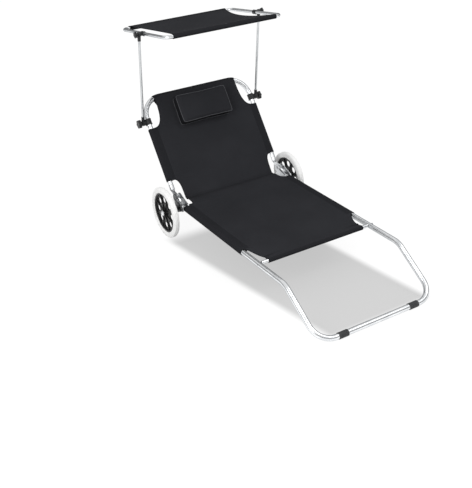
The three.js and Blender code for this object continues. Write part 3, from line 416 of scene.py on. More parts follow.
class Board:
    """A node board, with short calls to add and wire nodes."""

    def __init__(self, tree: bpy.types.NodeTree) -> None:
        """Works on a node tree."""
        self.tree = tree

    def node(self, kind: str, inputs: dict | None = None, **settings: str) -> bpy.types.Node:
        """A node of a kind, with its settings and the values or wires of its inputs.

        Args:
            kind: the node's type without the ShaderNode prefix.
            inputs: values or output sockets by input name or number.
            settings: the node's own properties.
        Returns:
            The node.
        """
        made = self.tree.nodes.new("ShaderNode" + kind)
        for key, value in settings.items():
            setattr(made, key, value)
        for key, value in (inputs or {}).items():
            self.put(made.inputs[key], value)
        return made

    def put(self, socket: bpy.types.NodeSocket, value: Value) -> None:
        """Gives a socket a value, or a wire from another node's output.

        Args:
            socket: the input.
            value: the value or the output socket.
        """
        if isinstance(value, bpy.types.NodeSocket):
            self.tree.links.new(value, socket)
        else:
            socket.default_value = value

    def maths(self, operation: str, *values: Value) -> bpy.types.NodeSocket:
        """The result of a Math node on one to three values."""
        return self.node("Math", dict(enumerate(values)), operation=operation).outputs[0]

    def ramp(self, value: Value, low: float, high: float, to_low: float, to_high: float) -> bpy.types.NodeSocket:
        """A value between low and high spread over to_low to to_high, and held beyond."""
        inputs = {"Value": value, "From Min": low, "From Max": high, "To Min": to_low, "To Max": to_high}
        return self.node("MapRange", inputs, interpolation_type="SMOOTHSTEP").outputs[0]

    def noise(self, scale: float, stretch: tuple = (1, 1, 1), detail: float = 2.0,
              chart: bpy.types.NodeSocket | None = None) -> bpy.types.NodeSocket:
        """Noise on Object coordinates or on the lengths along the surface.

        Args:
            scale: noise scale per metre.
            stretch: what each coordinate is multiplied by.
            detail: how many finer layers are added.
            chart: the lengths, or None for Object coordinates.
        Returns:
            The noise, about 0.3 to 0.7.
        """
        where = chart or self.node("TexCoord").outputs["Object"]
        mapped = self.node("Mapping", {"Vector": where, "Scale": stretch}).outputs[0]
        return self.node("TexNoise", {"Vector": mapped, "Scale": scale, "Detail": detail}).outputs[0]

    def mix(self, share: Value, first: Value, second: Value) -> bpy.types.NodeSocket:
        """A colour between two.

        Args:
            share: how much of the second, from 0 to 1.
            first: a colour or a wire.
            second: a colour or a wire.
        Returns:
            The mixed colour.
        """
        made = self.node("Mix", {"Factor": share}, data_type="RGBA")
        for socket, colour in ((made.inputs[6], first), (made.inputs[7], second)):
            self.put(socket, colour if isinstance(colour, bpy.types.NodeSocket) else (*colour[:3], 1))
        return made.outputs[2]

    def seen(self) -> bpy.types.NodeSocket:
        """Tells what is seen from what only lights.

        Returns:
            1 for rays from the camera, from reflections and through clear things, 0 for the rest.
        """
        rays = self.node("LightPath").outputs
        seen = self.maths("MAXIMUM", rays["Is Camera Ray"], rays["Is Glossy Ray"])
        return self.maths("MAXIMUM", seen, rays["Is Transmission Ray"])


class Finish(Board):
    """A new material's board with its shader."""

    def __init__(self, name: str) -> None:
        """Starts an empty material.

        Args:
            name: the material's name.
        """
        self.material = bpy.data.materials.new(name)
        self.material.use_nodes = True
        super().__init__(self.material.node_tree)
        self.shader = self.tree.nodes["Principled BSDF"]

    def chart(self) -> bpy.types.NodeSocket:
        """The lengths along the surface, in metres."""
        return self.node("UVMap", uv_map="lengths").outputs[0]

    def finish(self, colour: Value, rough: Value, height: Value | None = None, depth: float = 0.0,
               **plain: float | tuple) -> bpy.types.Material:
        """Wires the shader.

        Args:
            colour: base colour, a wire or a colour with its alpha.
            rough: roughness, a value or a wire.
            height: a wire that gives the relief from 0 to 1.
            depth: the relief's depth in metres.
            plain: constants for the shader's own sockets, spaces written as _.
        Returns:
            The material.
        """
        self.put(self.shader.inputs["Base Color"], colour)
        self.put(self.shader.inputs["Roughness"], rough)
        for name, value in plain.items():
            self.shader.inputs[name.replace("_", " ")].default_value = value
        if height is not None:
            bump = self.node("Bump", {"Height": height, "Distance": depth, "Strength": 1.0})
            self.put(self.shader.inputs["Normal"], bump.outputs[0])
        return self.material


@dataclass(frozen=True)
class Metal:
    """Bright metal with fine lines along its length, cloudy patches and a few handling marks."""

    name: str
    colour: tuple
    dull: tuple
    rough: float
    lines: tuple = (900, 12, 1)
    charted: bool = True
    depth: float = 0.000008
    edge: tuple = (0.34, 0.35, 0.36, 1.0)

    def material(self) -> bpy.types.Material:
        """Builds it: the colour lies between two greys by cloudy noise, the lines give the relief.

        Returns:
            The material.
        """
        b = Finish(self.name)
        chart = b.chart() if self.charted else None
        cloud = b.noise(14, chart=chart)
        lines = b.noise(1, self.lines, 3, chart=chart)
        rub = b.noise(60, (1, 0.2, 1), 4, chart=chart)
        colour = b.mix(b.ramp(cloud, 0.3, 0.72, 0, 1), self.colour, self.dull)
        colour = b.mix(b.ramp(rub, 0.6, 0.8, 0, 0.35), colour, tuple(0.75 * c for c in self.dull))
        rough = b.ramp(cloud, 0.3, 0.7, self.rough, self.rough + 0.08)
        rough = b.maths("ADD", b.ramp(lines, 0.3, 0.7, -0.05, 0.07), rough)
        return b.finish(colour, rough, lines, self.depth, Metallic=1.0, Specular_Tint=self.edge)


@dataclass(frozen=True)
class Moulded:
    """Moulded plastic or rubber: fine grain, soft colour drift, a slight bloom where it is handled."""

    name: str
    colour: tuple
    bloom: tuple
    rough: float
    grain: float = 1400
    depth: float = 0.00005
    specular: float = 0.5

    def material(self) -> bpy.types.Material:
        """Builds it: grain noise gives relief and roughness, slow noise drifts the colour towards the bloom.

        Returns:
            The material.
        """
        b = Finish(self.name)
        grain = b.noise(self.grain, detail=3)
        drift = b.noise(22, detail=4)
        colour = b.mix(b.ramp(drift, 0.35, 0.75, 0, 1), self.colour, self.bloom)
        rough = b.ramp(drift, 0.3, 0.7, self.rough, self.rough + 0.1)
        rough = b.maths("ADD", rough, b.ramp(grain, 0.3, 0.7, -0.04, 0.04))
        return b.finish(colour, rough, grain, self.depth, Specular_IOR_Level=self.specular)


@dataclass(frozen=True)
class WovenCloth:
    """Coated plain-weave cloth: crossing threads, sewn lines with stitches and painted shade beside them, darker bands
    where the cloth lies in two layers, and the same darkening as painted shade in the crease and on the pillow's side
    walls.
    """

    name: str
    colour: tuple
    shade: tuple
    pitch: float = 0.0011
    stitch: float = 0.0042
    # How much the marked share darkens the cloth: two layers of cloth, and painted shade in the crease and on the
    # pillow's side walls.
    band: float = 0.4
    relief: float = 0.0005

    def material(self) -> bpy.types.Material:
        """Builds it.

        The weave is 0.5 + 0.5 sin(2 pi u / pitch) sin(2 pi v / pitch) for lengths u and v, a sewn line is where the
        seam distance is small, and its stitches are where sin(2 pi (u + v) / stitch) is above about -0.35.

        Returns:
            The material.
        """
        b = Finish(self.name)
        u, v = b.node("SeparateXYZ", {0: b.chart()}).outputs[:2]
        waves = [b.maths("SINE", b.maths("MULTIPLY", way, FULL / self.pitch)) for way in (u, v)]
        weave = b.maths("MULTIPLY_ADD", b.maths("MULTIPLY", *waves), 0.5, 0.5)
        slub = b.noise(1, (14, 700, 1), 2, chart=b.chart())
        drift = b.noise(5, detail=4)
        seam, doubled = (b.node("Attribute", attribute_name=word).outputs["Fac"] for word in ("seam", "doubled"))
        run = b.maths("SINE", b.maths("MULTIPLY", b.maths("ADD", u, v), FULL / self.stitch))
        thread = b.maths("MULTIPLY", b.ramp(seam, 0.0005, 0.0010, 1, 0), b.ramp(run, -0.5, -0.2, 0, 1))
        pucker_and_painted_shade = b.ramp(seam, 0.0008, 0.0045, 0, 1)
        colour = b.mix(b.ramp(weave, 0.1, 0.9, 0, 1), self.shade, self.colour)
        colour = b.mix(b.ramp(slub, 0.35, 0.7, 0, 0.3), colour, self.shade)
        colour = b.mix(b.ramp(drift, 0.3, 0.75, 0, 0.22), colour, tuple(1.45 * c for c in self.colour))
        # Darker where the cloth lies in two layers; the crease and the pillow's side walls are marked too, so there
        # this is painted shade.
        colour = b.mix(b.maths("MULTIPLY", doubled, self.band), colour, tuple(0.55 * c for c in self.shade))
        # Painted shade: within a few millimetres of each sewn line the cloth darkens towards the shade colour, as if
        # shaded in the seam's pulled-in groove.
        colour = b.mix(b.ramp(pucker_and_painted_shade, 0, 1, 0.35, 0), colour, self.shade)
        colour = b.mix(b.maths("MULTIPLY", thread, 0.6), colour, tuple(1.9 * c for c in self.colour))
        height = b.maths("ADD", b.maths("MULTIPLY", weave, 0.22), b.maths("MULTIPLY", pucker_and_painted_shade, 0.6))
        height = b.maths("ADD", height, b.maths("MULTIPLY", thread, 0.7))
        rough = b.ramp(weave, 0, 1, 0.98, 0.86)
        return b.finish(colour, rough, height, self.relief, Specular_IOR_Level=0.03)


class Finishes:
    """Each finish of the lounger, made once and shared."""

    def __init__(self) -> None:
        """Makes the materials."""
        black, weave = (0.0125, 0.013, 0.0145), ((0.030, 0.0308, 0.0348), (0.0195, 0.020, 0.0228))
        along, cloudy = (900, 6, 1), ((260, 260, 260), False)
        bright, dull = (0.75, 0.76, 0.77), (0.60, 0.615, 0.63)
        self.tube = Metal("drawn_aluminium", bright, dull, 0.2, along).material()
        self.rod = Metal("aluminium_rod", (0.52, 0.53, 0.54), (0.42, 0.43, 0.44), 0.22, along).material()
        self.steel = Metal("plated_steel", (0.66, 0.67, 0.68), (0.44, 0.45, 0.465), 0.26, *cloudy).material()
        self.cap = Metal("bright_cap", (0.82, 0.83, 0.84), (0.7, 0.71, 0.72), 0.2, *cloudy).material()
        self.plastic = Moulded("moulded_plastic", black, (0.022, 0.0225, 0.024), 0.36, specular=0.3).material()
        deep, sheen = (0.006, 0.0062, 0.0066), (0.013, 0.0133, 0.014)
        self.gloss = Moulded("glossy_moulding", deep, sheen, 0.24, 900, 0.00002, 0.16).material()
        dark, worn = (0.035, 0.036, 0.038), (0.06, 0.061, 0.063)
        self.rubber = Moulded("foot_rubber", dark, worn, 0.66, 1800, 0.00009, 0.35).material()
        pale, soft = (0.93, 0.93, 0.925), (0.89, 0.89, 0.885)
        self.tyre = Moulded("pale_rubber", pale, soft, 0.55, 1500, 0.00008, 0.4).material()
        self.cloth = WovenCloth("black_weave", *weave).material()
        # The pillow's strong band paints shade onto its gusset's side walls.
        self.pillow = WovenCloth("pillow_weave", *weave, band=0.85).material()
        # The piping's colour is lighter than the cover's cloth: a painted highlight along the cord, besides the real
        # highlight on its rounded shape.
        self.piping = WovenCloth("piping_weave", (0.075, 0.076, 0.082), (0.05, 0.051, 0.056), 0.0008).material()


# ---------------------------------------------------------------- pieces


def linked(name: str, data: bpy.types.ID) -> bpy.types.Object:
    """A new object with its data, in the scene's collection.

    Args:
        name: the object's name.
        data: its mesh, lamp or camera.
    Returns:
        The object, at the origin.
    """
    made = bpy.data.objects.new(name, data)
    bpy.context.scene.collection.objects.link(made)
    return made


def welded_object(name: str, surface: Surface, placement: Placement, smooth: float) -> bpy.types.Object:
    """A Blender object with the surface's mesh, its repeated points merged.

    Args:
        name: the object's name.
        surface: the shape in millimetres.
        placement: its axes.
        smooth: the angle in degrees under which an edge is shaded smooth.
    Returns:
        The object, at the origin.
    """
    near = np.round(surface.points / WELD).astype(np.int64)
    _, first, index = np.unique(near, axis=0, return_index=True, return_inverse=True)
    faces = index.ravel()[surface.faces]
    held = faces != np.roll(faces, 1, axis=1)
    full = held.sum(1) >= 3
    faces, held, lengths = faces[full], held[full], surface.lengths[full]
    ends = np.cumsum(held.sum(1))[:-1]
    mesh = bpy.data.meshes.new(name)
    points = placement.metres(surface.points[first])
    mesh.from_pydata(points.tolist(), [], [f.tolist() for f in np.split(faces[held], ends)])
    chart = mesh.uv_layers.new(name="lengths")
    chart.data.foreach_set("uv", (lengths[held] * MM).astype(np.float32).ravel())
    for word, scale in (("seam", MM), ("doubled", 1.0)):
        values = getattr(surface, word)
        if values is not None:
            marks = mesh.attributes.new(word, "FLOAT", "POINT")
            marks.data.foreach_set("value", (values[first] * scale).astype(np.float32))
    mesh.polygons.foreach_set("use_smooth", np.ones(len(mesh.polygons), bool))
    mesh.update()
    mesh.set_sharp_from_angle(angle=math.radians(smooth))
    return linked(name, mesh)


@dataclass
class SubAssembly:
    """Something built of pieces in its own axes."""

    axes: Placement
    finishes: Finishes
    body: str = "bed_frame"
    pieces: list = field(default_factory=list)

    def piece(self, name: str, surface: Surface, material: bpy.types.Material, slot: Slot, nodes: tuple,
              body: str | None = None, smooth: float = 40.0, bevel: float = 0.0) -> bpy.types.Object:
        """Makes one finished rigid piece, lets it ride on its body and stand for its nodes.

        Args:
            name: the piece's name.
            surface: its shape in these axes.
            material: its finish.
            slot: the record's slot; not used.
            nodes: the CAD nodes that it stands for.
            body: the body that carries it, or this sub-assembly's.
            smooth: shading angle in degrees.
            bevel: width of its broken edges in millimetres, 0 for none.
        Returns:
            The object.
        """
        made = welded_object(name, surface, self.axes, smooth)
        made.data.materials.append(material)
        if bevel:
            edge = made.modifiers.new("broken_edges", "BEVEL")
            edge.width, edge.segments, edge.limit_method = bevel * MM, 2, "ANGLE"
            edge.angle_limit, edge.harden_normals = math.radians(35), False
        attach(made, body or self.body)
        if nodes:
            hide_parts(*nodes)
        self.pieces.append(made)
        LOG.info("%s: %d faces on %s", name, len(made.data.polygons), body or self.body)
        return made

    def pair(self, name: str, surface: Surface, material: bpy.types.Material, slot: Slot,
             body: str | None = None, smooth: float = 40.0, bevel: float = 0.0) -> None:
        """Makes a piece for each side, where the nodes are name_left and name_right.

        Args:
            name: the nodes' common name.
            surface: the left one's shape.
            material: the finish.
            slot: the record's slot, passed on to piece; not used.
            body: a body's name, in which SIDE stands for left or right.
            smooth: shading angle in degrees.
            bevel: width of the broken edges in millimetres.
        """
        for side in Side:
            carrier = (body or self.body).replace("SIDE", side.word)
            self.piece(f"{name}_{side.word}_shape", surface.on(side), material, slot,
                       (f"{name}_{side.word}",), carrier, smooth, bevel)


@dataclass
class BedFrame(SubAssembly):
    """Bent side rails with the foot bar, cross tube, foot sleeves and their fastenings."""

    height: float = 172.0
    knee: float = 960.0
    knee_bend: float = 90.0
    foot: float = 1200.0
    foot_bend: float = 85.0
    foot_height: float = 13.9
    rail_end: float = 62.0
    cross: tuple = (-762.0, 176.5)
    cross_tube: float = 8.0
    cross_wall: float = 1.2
    sleeve_x: float = 187.0
    sleeve_length: float = 48.0
    sleeve_skin: float = 2.4

    def build(self) -> None:
        """Makes the frame's pieces."""
        x, h, f = RAIL_X, self.height, self.foot_height
        corners = [(x, -self.rail_end, h), (x, -self.knee, h), (x, -self.foot, f)]
        corners += [(-a, b, c) for a, b, c in corners[::-1]]
        bends = [0, self.knee_bend, self.foot_bend]
        rails = swept_tube(bent_path(corners, bends + bends[::-1], 3), TUBE, TUBE - TUBE_WALL, X_WAY, 40)
        self.piece("bent_rails", rails, self.finishes.tube, Slot.TUBE, ("bed_tube",))
        reach = RAIL_X - TUBE - FIT
        line = np.array([(a, *self.cross) for a in (-reach, 5 - reach, reach - 5, reach)])
        tube = swept_tube(line, self.cross_tube, self.cross_tube - self.cross_wall, Z_WAY)
        self.piece("cross_tube", tube, self.finishes.tube, Slot.TUBE, ("front_cross_tube",))
        self.pair("cross_tube_screw", self.screw(), self.finishes.steel, Slot.STEEL)
        self.pair("foot_sleeve", self.sleeve(), self.finishes.rubber, Slot.RUBBER)

    def screw(self) -> Surface:
        """Pan head with a round recess, shank and plug, turned as one.

        Returns:
            The left screw.
        """
        f = RAIL_X + TUBE + FIT
        head = [(f + 1.1, 0), (f + 1.1, 2.2), (f + 2.2, 2.6), (f + 2.5, 4.4), (f, 5.5)]
        shank = [(f, 2.5), (f - 26, 2.5), (f - 26, 5.6), (f - 38, 5.6), (f - 38, 0)]
        return turned(head + shank, 0.5).moved(0, *self.cross)

    def sleeve(self) -> Surface:
        """Rubber sleeve: a ring whose underside is cut flat, z >= -(R - 1), with lips at its ends and grip ridges.

        Returns:
            The left sleeve.
        """
        half, outer, bore = self.sleeve_length / 2, TUBE + self.sleeve_skin, TUBE + 0.25
        x = np.linspace(-half + 6, half - 6, 57)
        ridges = [(a, outer - 0.35 + 0.35 * math.cos(a * 2.1)) for a in x]
        lip = [(half, bore), (half, outer - 0.2), (half - 4, outer)]
        profile = even(lip)
        ring = turned(profile[:3] + ridges + profile[3:], 0.6, 56, closed=True)
        ring.points[:, 2] = np.maximum(ring.points[:, 2], -(outer - 1.0))
        return ring.moved(self.sleeve_x, -self.foot, self.foot_height)


@dataclass
class Hinge(SubAssembly):
    """The plates, pins and brackets between the rails, the backrest and the axle."""

    plate: float = 3.0
    plate_end: float = 20.0
    heel_reach: float = 52.0
    bead: float = 7.5
    bead_reach: float = 15.0
    bracket_ends: tuple = (15.0, 11.0, 16.8)
    spacer: float = 10.0
    fold_pin: tuple = (5.0, 9.0, 2.2)
    rivet_pin: tuple = (3.0, 5.5, 1.1)
    plate_edge: float = 0.7
    bracket_edge: float = 0.5

    def build(self) -> None:
        """Makes both hinges' visible pieces."""
        outer, inner = RAIL_X + TUBE + FIT, RAIL_X - TUBE - FIT - self.plate
        shape = wrapped_outline([(*FOLD, self.plate_end), (*RIVET, self.plate_end)])
        for word, low in (("outer", outer), ("inner", inner)):
            plate = stamped(shape, [circle(*FOLD, FOLD_BORE), circle(*RIVET, RIVET_BORE)], low, low + self.plate)
            if word == "outer":
                plate = joined(plate, self.pressed_bead(low + self.plate - 0.05))
            self.pair(f"hinge_plate_{word}", plate, self.finishes.steel, Slot.STEEL, bevel=self.plate_edge)
        self.pair("axle_bracket", self.bracket(outer, inner), self.finishes.steel, Slot.STEEL,
                  bevel=self.bracket_edge)
        reach = (inner - FIT, outer + self.plate + FIT)
        self.pair("fold_pin", self.pin(FOLD, *self.fold_pin, reach), self.finishes.steel, Slot.STEEL)
        beyond = (reach[0] - self.plate - FIT, reach[1] + self.plate + FIT)
        self.pair("rail_rivet", self.pin(RIVET, *self.rivet_pin, beyond), self.finishes.steel, Slot.STEEL)

    def pressed_bead(self, x: float) -> Surface:
        """The long bead in the outer plate: a low dome drawn out along the line from pin to rivet.

        Args:
            x: the plate's face.
        Returns:
            The bead.
        """
        way = np.array(RIVET) - np.array(FOLD)
        way = way / np.linalg.norm(way)
        bead = turned([(0, 0), (0, self.bead), (0.9, 6), (1.1, 0)], 0.8)
        side = bead.points[:, 1:] @ way
        bead.points[:, 1:] += np.where(np.abs(side) > 1e-5, np.sign(side), 0)[:, None] * way * self.bead_reach
        return bead.moved(x, (FOLD[0] + RIVET[0]) / 2, (FOLD[1] + RIVET[1]) / 2)

    def bracket(self, outer: float, inner: float) -> Surface:
        """Two cheeks outside the plates with a spacer tube round the axle.

        Args:
            outer: inner face of the outer plate.
            inner: inner face of the inner plate.
        Returns:
            The left bracket.
        """
        way = np.array(FOLD) - np.array(RIVET)
        heel = np.array(RIVET) + way * self.heel_reach / np.linalg.norm(way)
        shape = wrapped_outline([(*place, r) for place, r in zip((AXLE, heel, RIVET), self.bracket_ends)])
        holes = [circle(*AXLE, AXLE_BORE), circle(*RIVET, RIVET_BORE)]
        high, low = outer + self.plate + FIT, inner - FIT - self.plate
        wall = ((low, AXLE_BORE), (low, self.spacer), (high, self.spacer), (high, AXLE_BORE))
        section = [(a + FIT, r) for a, r in wall]
        cheeks = [stamped(shape, holes, a, a + self.plate) for a in (high, low)]
        return joined(*cheeks, turned(section, 0.4, closed=True).moved(0, *AXLE))

    def pin(self, centre: tuple, radius: float, head: float, dome: float, reach: tuple) -> Surface:
        """A pin with a domed head at each end, turned about X.

        Args:
            centre: the pin's line.
            radius: its radius.
            head: radius of its heads.
            dome: height of its heads.
            reach: where the heads' inner faces are.
        Returns:
            The left pin.
        """
        rise = [(dome, 0), (dome, head * 0.55), (dome * 0.45, head), (0, head), (0, radius)]
        profile = [(reach[0] - a, r) for a, r in rise] + [(reach[1] + a, r) for a, r in rise[::-1]]
        return turned(profile, 0.7, 40).moved(0, *centre)


@dataclass
class Wheels(SubAssembly):
    """Axle, spacers, tyres, moulded wheel bodies, bushes and caps."""

    radius: float = 130.0
    face: float = 386.0
    width: float = 28.0
    height: float = 29.0
    rim_width: float = 18.0
    hub: float = 18.0
    hub_width: float = 30.0
    windows: int = 8
    window: float = 16.5
    window_pitch: float = 68.0
    axle: float = 6.0
    spacer: float = 10.0
    spacer_start: float = 324.4

    def build(self) -> None:
        """Makes the axle line and both wheels."""
        middle, hub_out = self.face - self.width / 2, self.face + 1
        hub_in = hub_out - self.hub_width
        end, steel, plastic = hub_out + 5.5, self.finishes.steel, self.finishes.plastic
        bar = turned([(-end, 0), (-end, self.axle), (end, self.axle), (end, 0)], 0.8, 40)
        self.piece("axle_bar", bar.moved(0, *AXLE), steel, Slot.STEEL, ("axle",))
        low, high = self.spacer_start, hub_in - 3
        section = [(low, AXLE_BORE), (low, self.spacer), (high, self.spacer), (high, AXLE_BORE)]
        self.pair("axle_spacer", turned(section, closed=True).moved(0, *AXLE), plastic, Slot.STEEL)
        self.pair("tyre", self.tyre().moved(middle, *AXLE), self.finishes.tyre, Slot.TYRE, "wheel_SIDE", 50)
        body = self.moulding(hub_in - middle, hub_out - middle).moved(middle, *AXLE)
        self.pair("wheel_disc", body, self.finishes.gloss, Slot.PLASTIC, "wheel_SIDE", 38)
        section = [(hub_in - 2.7, AXLE_BORE), (hub_in - 2.7, 15), (hub_in - 0.3, 15), (hub_in - 0.3, 9.5),
                   (hub_out, 9.5), (hub_out, AXLE_BORE)]
        bush = turned(section, 0.4, closed=True)
        self.pair("wheel_bush", bush.moved(0, *AXLE), plastic, Slot.PLASTIC, "wheel_SIDE")
        steps = [(5.8, 0), (5.8, 6.2), (0, 6.3), (0, 13.5), (1.2, 13.5), (1.6, 12.4), (4.6, 11.9), (7, 8.6), (7, 5.4),
                 (8.6, 4.2), (8.8, 0)]
        cap = turned(steps, 0.9, 56).moved(hub_out + FIT, *AXLE)
        self.pair("hub_cap", cap, self.finishes.cap, Slot.STEEL)

    def tyre(self) -> Surface:
        """Ring of pale rubber: crowned tread with two grooves, bulged sides and a bead lip against the rim.

        Returns:
            The tyre about the origin.
        """
        half, r0, r1 = self.width / 2, self.radius - self.height + 0.15, self.radius
        inner = [(3, 0), (1.2, 2.2), (0.3, 4.4), (0.9, 6.2), (0.1, 9), (0, 14)]
        outer = [(0.6, 8.5), (2.6, 3.6), (5.4, 1.1)]
        grooves = [(6.2, 0.35), (5.2, 1.7), (3.8, 1.7), (2.8, 0.1)]
        side = [(half - a, r0 + b) for a, b in inner] + [(half - a, r1 - b) for a, b in outer]
        side += [(a, r1 - b) for a, b in grooves]
        profile = side + [(0, r1)] + [(-a, b) for a, b in side[::-1]]
        return turned(profile, 1.4, 112, closed=True)

    def moulding(self, hub_in: float, hub_out: float) -> Surface:
        """Rim, web with round windows, collars round them, ribs and hub, as closed shells set into one another.

        Args:
            hub_in: the hub's inner end, from the tyre's middle.
            hub_out: its outer end.
        Returns:
            The wheel body about the origin.
        """
        rim_r, half, r = self.radius - self.height, self.rim_width / 2, self.window
        spin = around(self.windows)
        centres = list(zip(self.window_pitch * np.cos(spin), self.window_pitch * np.sin(spin)))
        holes = [circle(0, 0, self.hub - 1, 40)] + [circle(*c, r, 40) for c in centres]
        web = stamped(circle(0, 0, rim_r - 3, 96), holes, -2, 2)
        rim = turned(even([(4, rim_r - 9), (half - 2.5, rim_r - 7.6), (half, rim_r - 6), (half, rim_r - 0.6),
                           (half - 2, rim_r)]), 1.0, 96, closed=True)
        hub = turned([(hub_in, 9.8), (hub_in, 17), (hub_in + 1, self.hub), (hub_out - 1, self.hub), (hub_out, 16.4),
                      (hub_out - 1.6, 13.9), (hub_out - 1.6, 9.8)], 0.8, 56, closed=True)
        collar = turned(even([(3.6, r), (3.6, r + 1.6), (2, r + 3.4)]), 0.8, 40, closed=True)
        step = 360 / self.windows
        ribs = [self.rib(rim_r).turned_x((k + 0.5) * step) for k in range(self.windows)]
        return joined(web, rim, hub, *[collar.moved(0, *c) for c in centres], *ribs)

    def rib(self, rim_r: float) -> Surface:
        """One rib: a rounded blade from the hub to the rim, 8.8 - 3.2 sin(pi t) deep to each side of the web.

        Args:
            rim_r: the rim's outer radius.
        Returns:
            The rib along Y.
        """
        along = np.linspace(self.hub - 1.5, rim_r - 4, 15)[:, None]
        share = (along - along[0]) / (along[-1] - along[0])
        a = around(16)
        cx, cz = (np.sign(c) * np.abs(c) ** power for c, power in ((np.cos(a), 0.35), (np.sin(a), 0.7)))
        wide = 1.5 + 0.5 * np.abs(2 * share - 1) ** 3
        grid = spread((8.8 - 3.2 * np.sin(math.pi * share)) * cx, along, wide * cz)
        ends = [np.broadcast_to(g.mean(0), g.shape)[None] for g in (grid[0], grid[-1])]
        return lattice(np.concatenate([ends[0], grid, ends[1]]), wrap_columns=True).outwards()


def tube_clamp(x: float, tube: float, wall: float, boss: float, length: float) -> Surface:
    """A moulded collar round a tube along Y with ribs, and a round boss towards the arm with a bolt bore.

    Args:
        x: the tube's axis.
        tube: its radius.
        wall: the collar's wall.
        boss: the boss's radius.
        length: the collar's length.
    Returns:
        The closed shells, at y = z = 0.
    """
    bore, outer, half = tube + FIT, tube + FIT + wall, length / 2
    ribbed = even([(half, bore), (half, outer), (half - 3, outer), (half - 4, outer - 1)])
    ring = turned(ribbed, 0.8, 56, closed=True)
    ring.points = ring.points[:, [1, 0, 2]]
    start, bolt = x + tube + 2 * FIT, 3.9
    dome = start + (CLAMP_FACE - start) * 0.55
    cup = [(start, bolt), (start, boss - 2), (dome, boss), (CLAMP_FACE, boss), (CLAMP_FACE, bolt)]
    return joined(ring.outwards().moved(x), turned(cup, 0.8, closed=True))


@dataclass
class Backrest(SubAssembly):
    """The bent backrest tube and the clamps on it."""

    body: str = "backrest"
    start: float = 46.0
    clamp_length: float = 30.0
    clamp_wall: float = 5.0
    boss: float = 13.0

    def build(self) -> None:
        """Makes the tube and the lower clamps."""
        ends = [(RAIL_X, self.start), (RAIL_X, BACK_TOP), (-RAIL_X, BACK_TOP), (-RAIL_X, self.start)]
        line = bent_path([(*end, BACK_TUBE_LEVEL) for end in ends], [0, BACK_BEND, BACK_BEND, 0], 3)
        bow = swept_tube(line, TUBE, TUBE - TUBE_WALL, Z_WAY, 40)
        self.piece("bent_backrest_tube", bow, self.finishes.tube, Slot.TUBE, ("backrest_tube",))
        clamp = tube_clamp(RAIL_X, TUBE, self.clamp_wall, self.boss, self.clamp_length)
        clamp = clamp.moved(0, ARM_PIVOT, BACK_TUBE_LEVEL)
        self.pair("lower_clamp", clamp, self.finishes.plastic, Slot.PLASTIC)


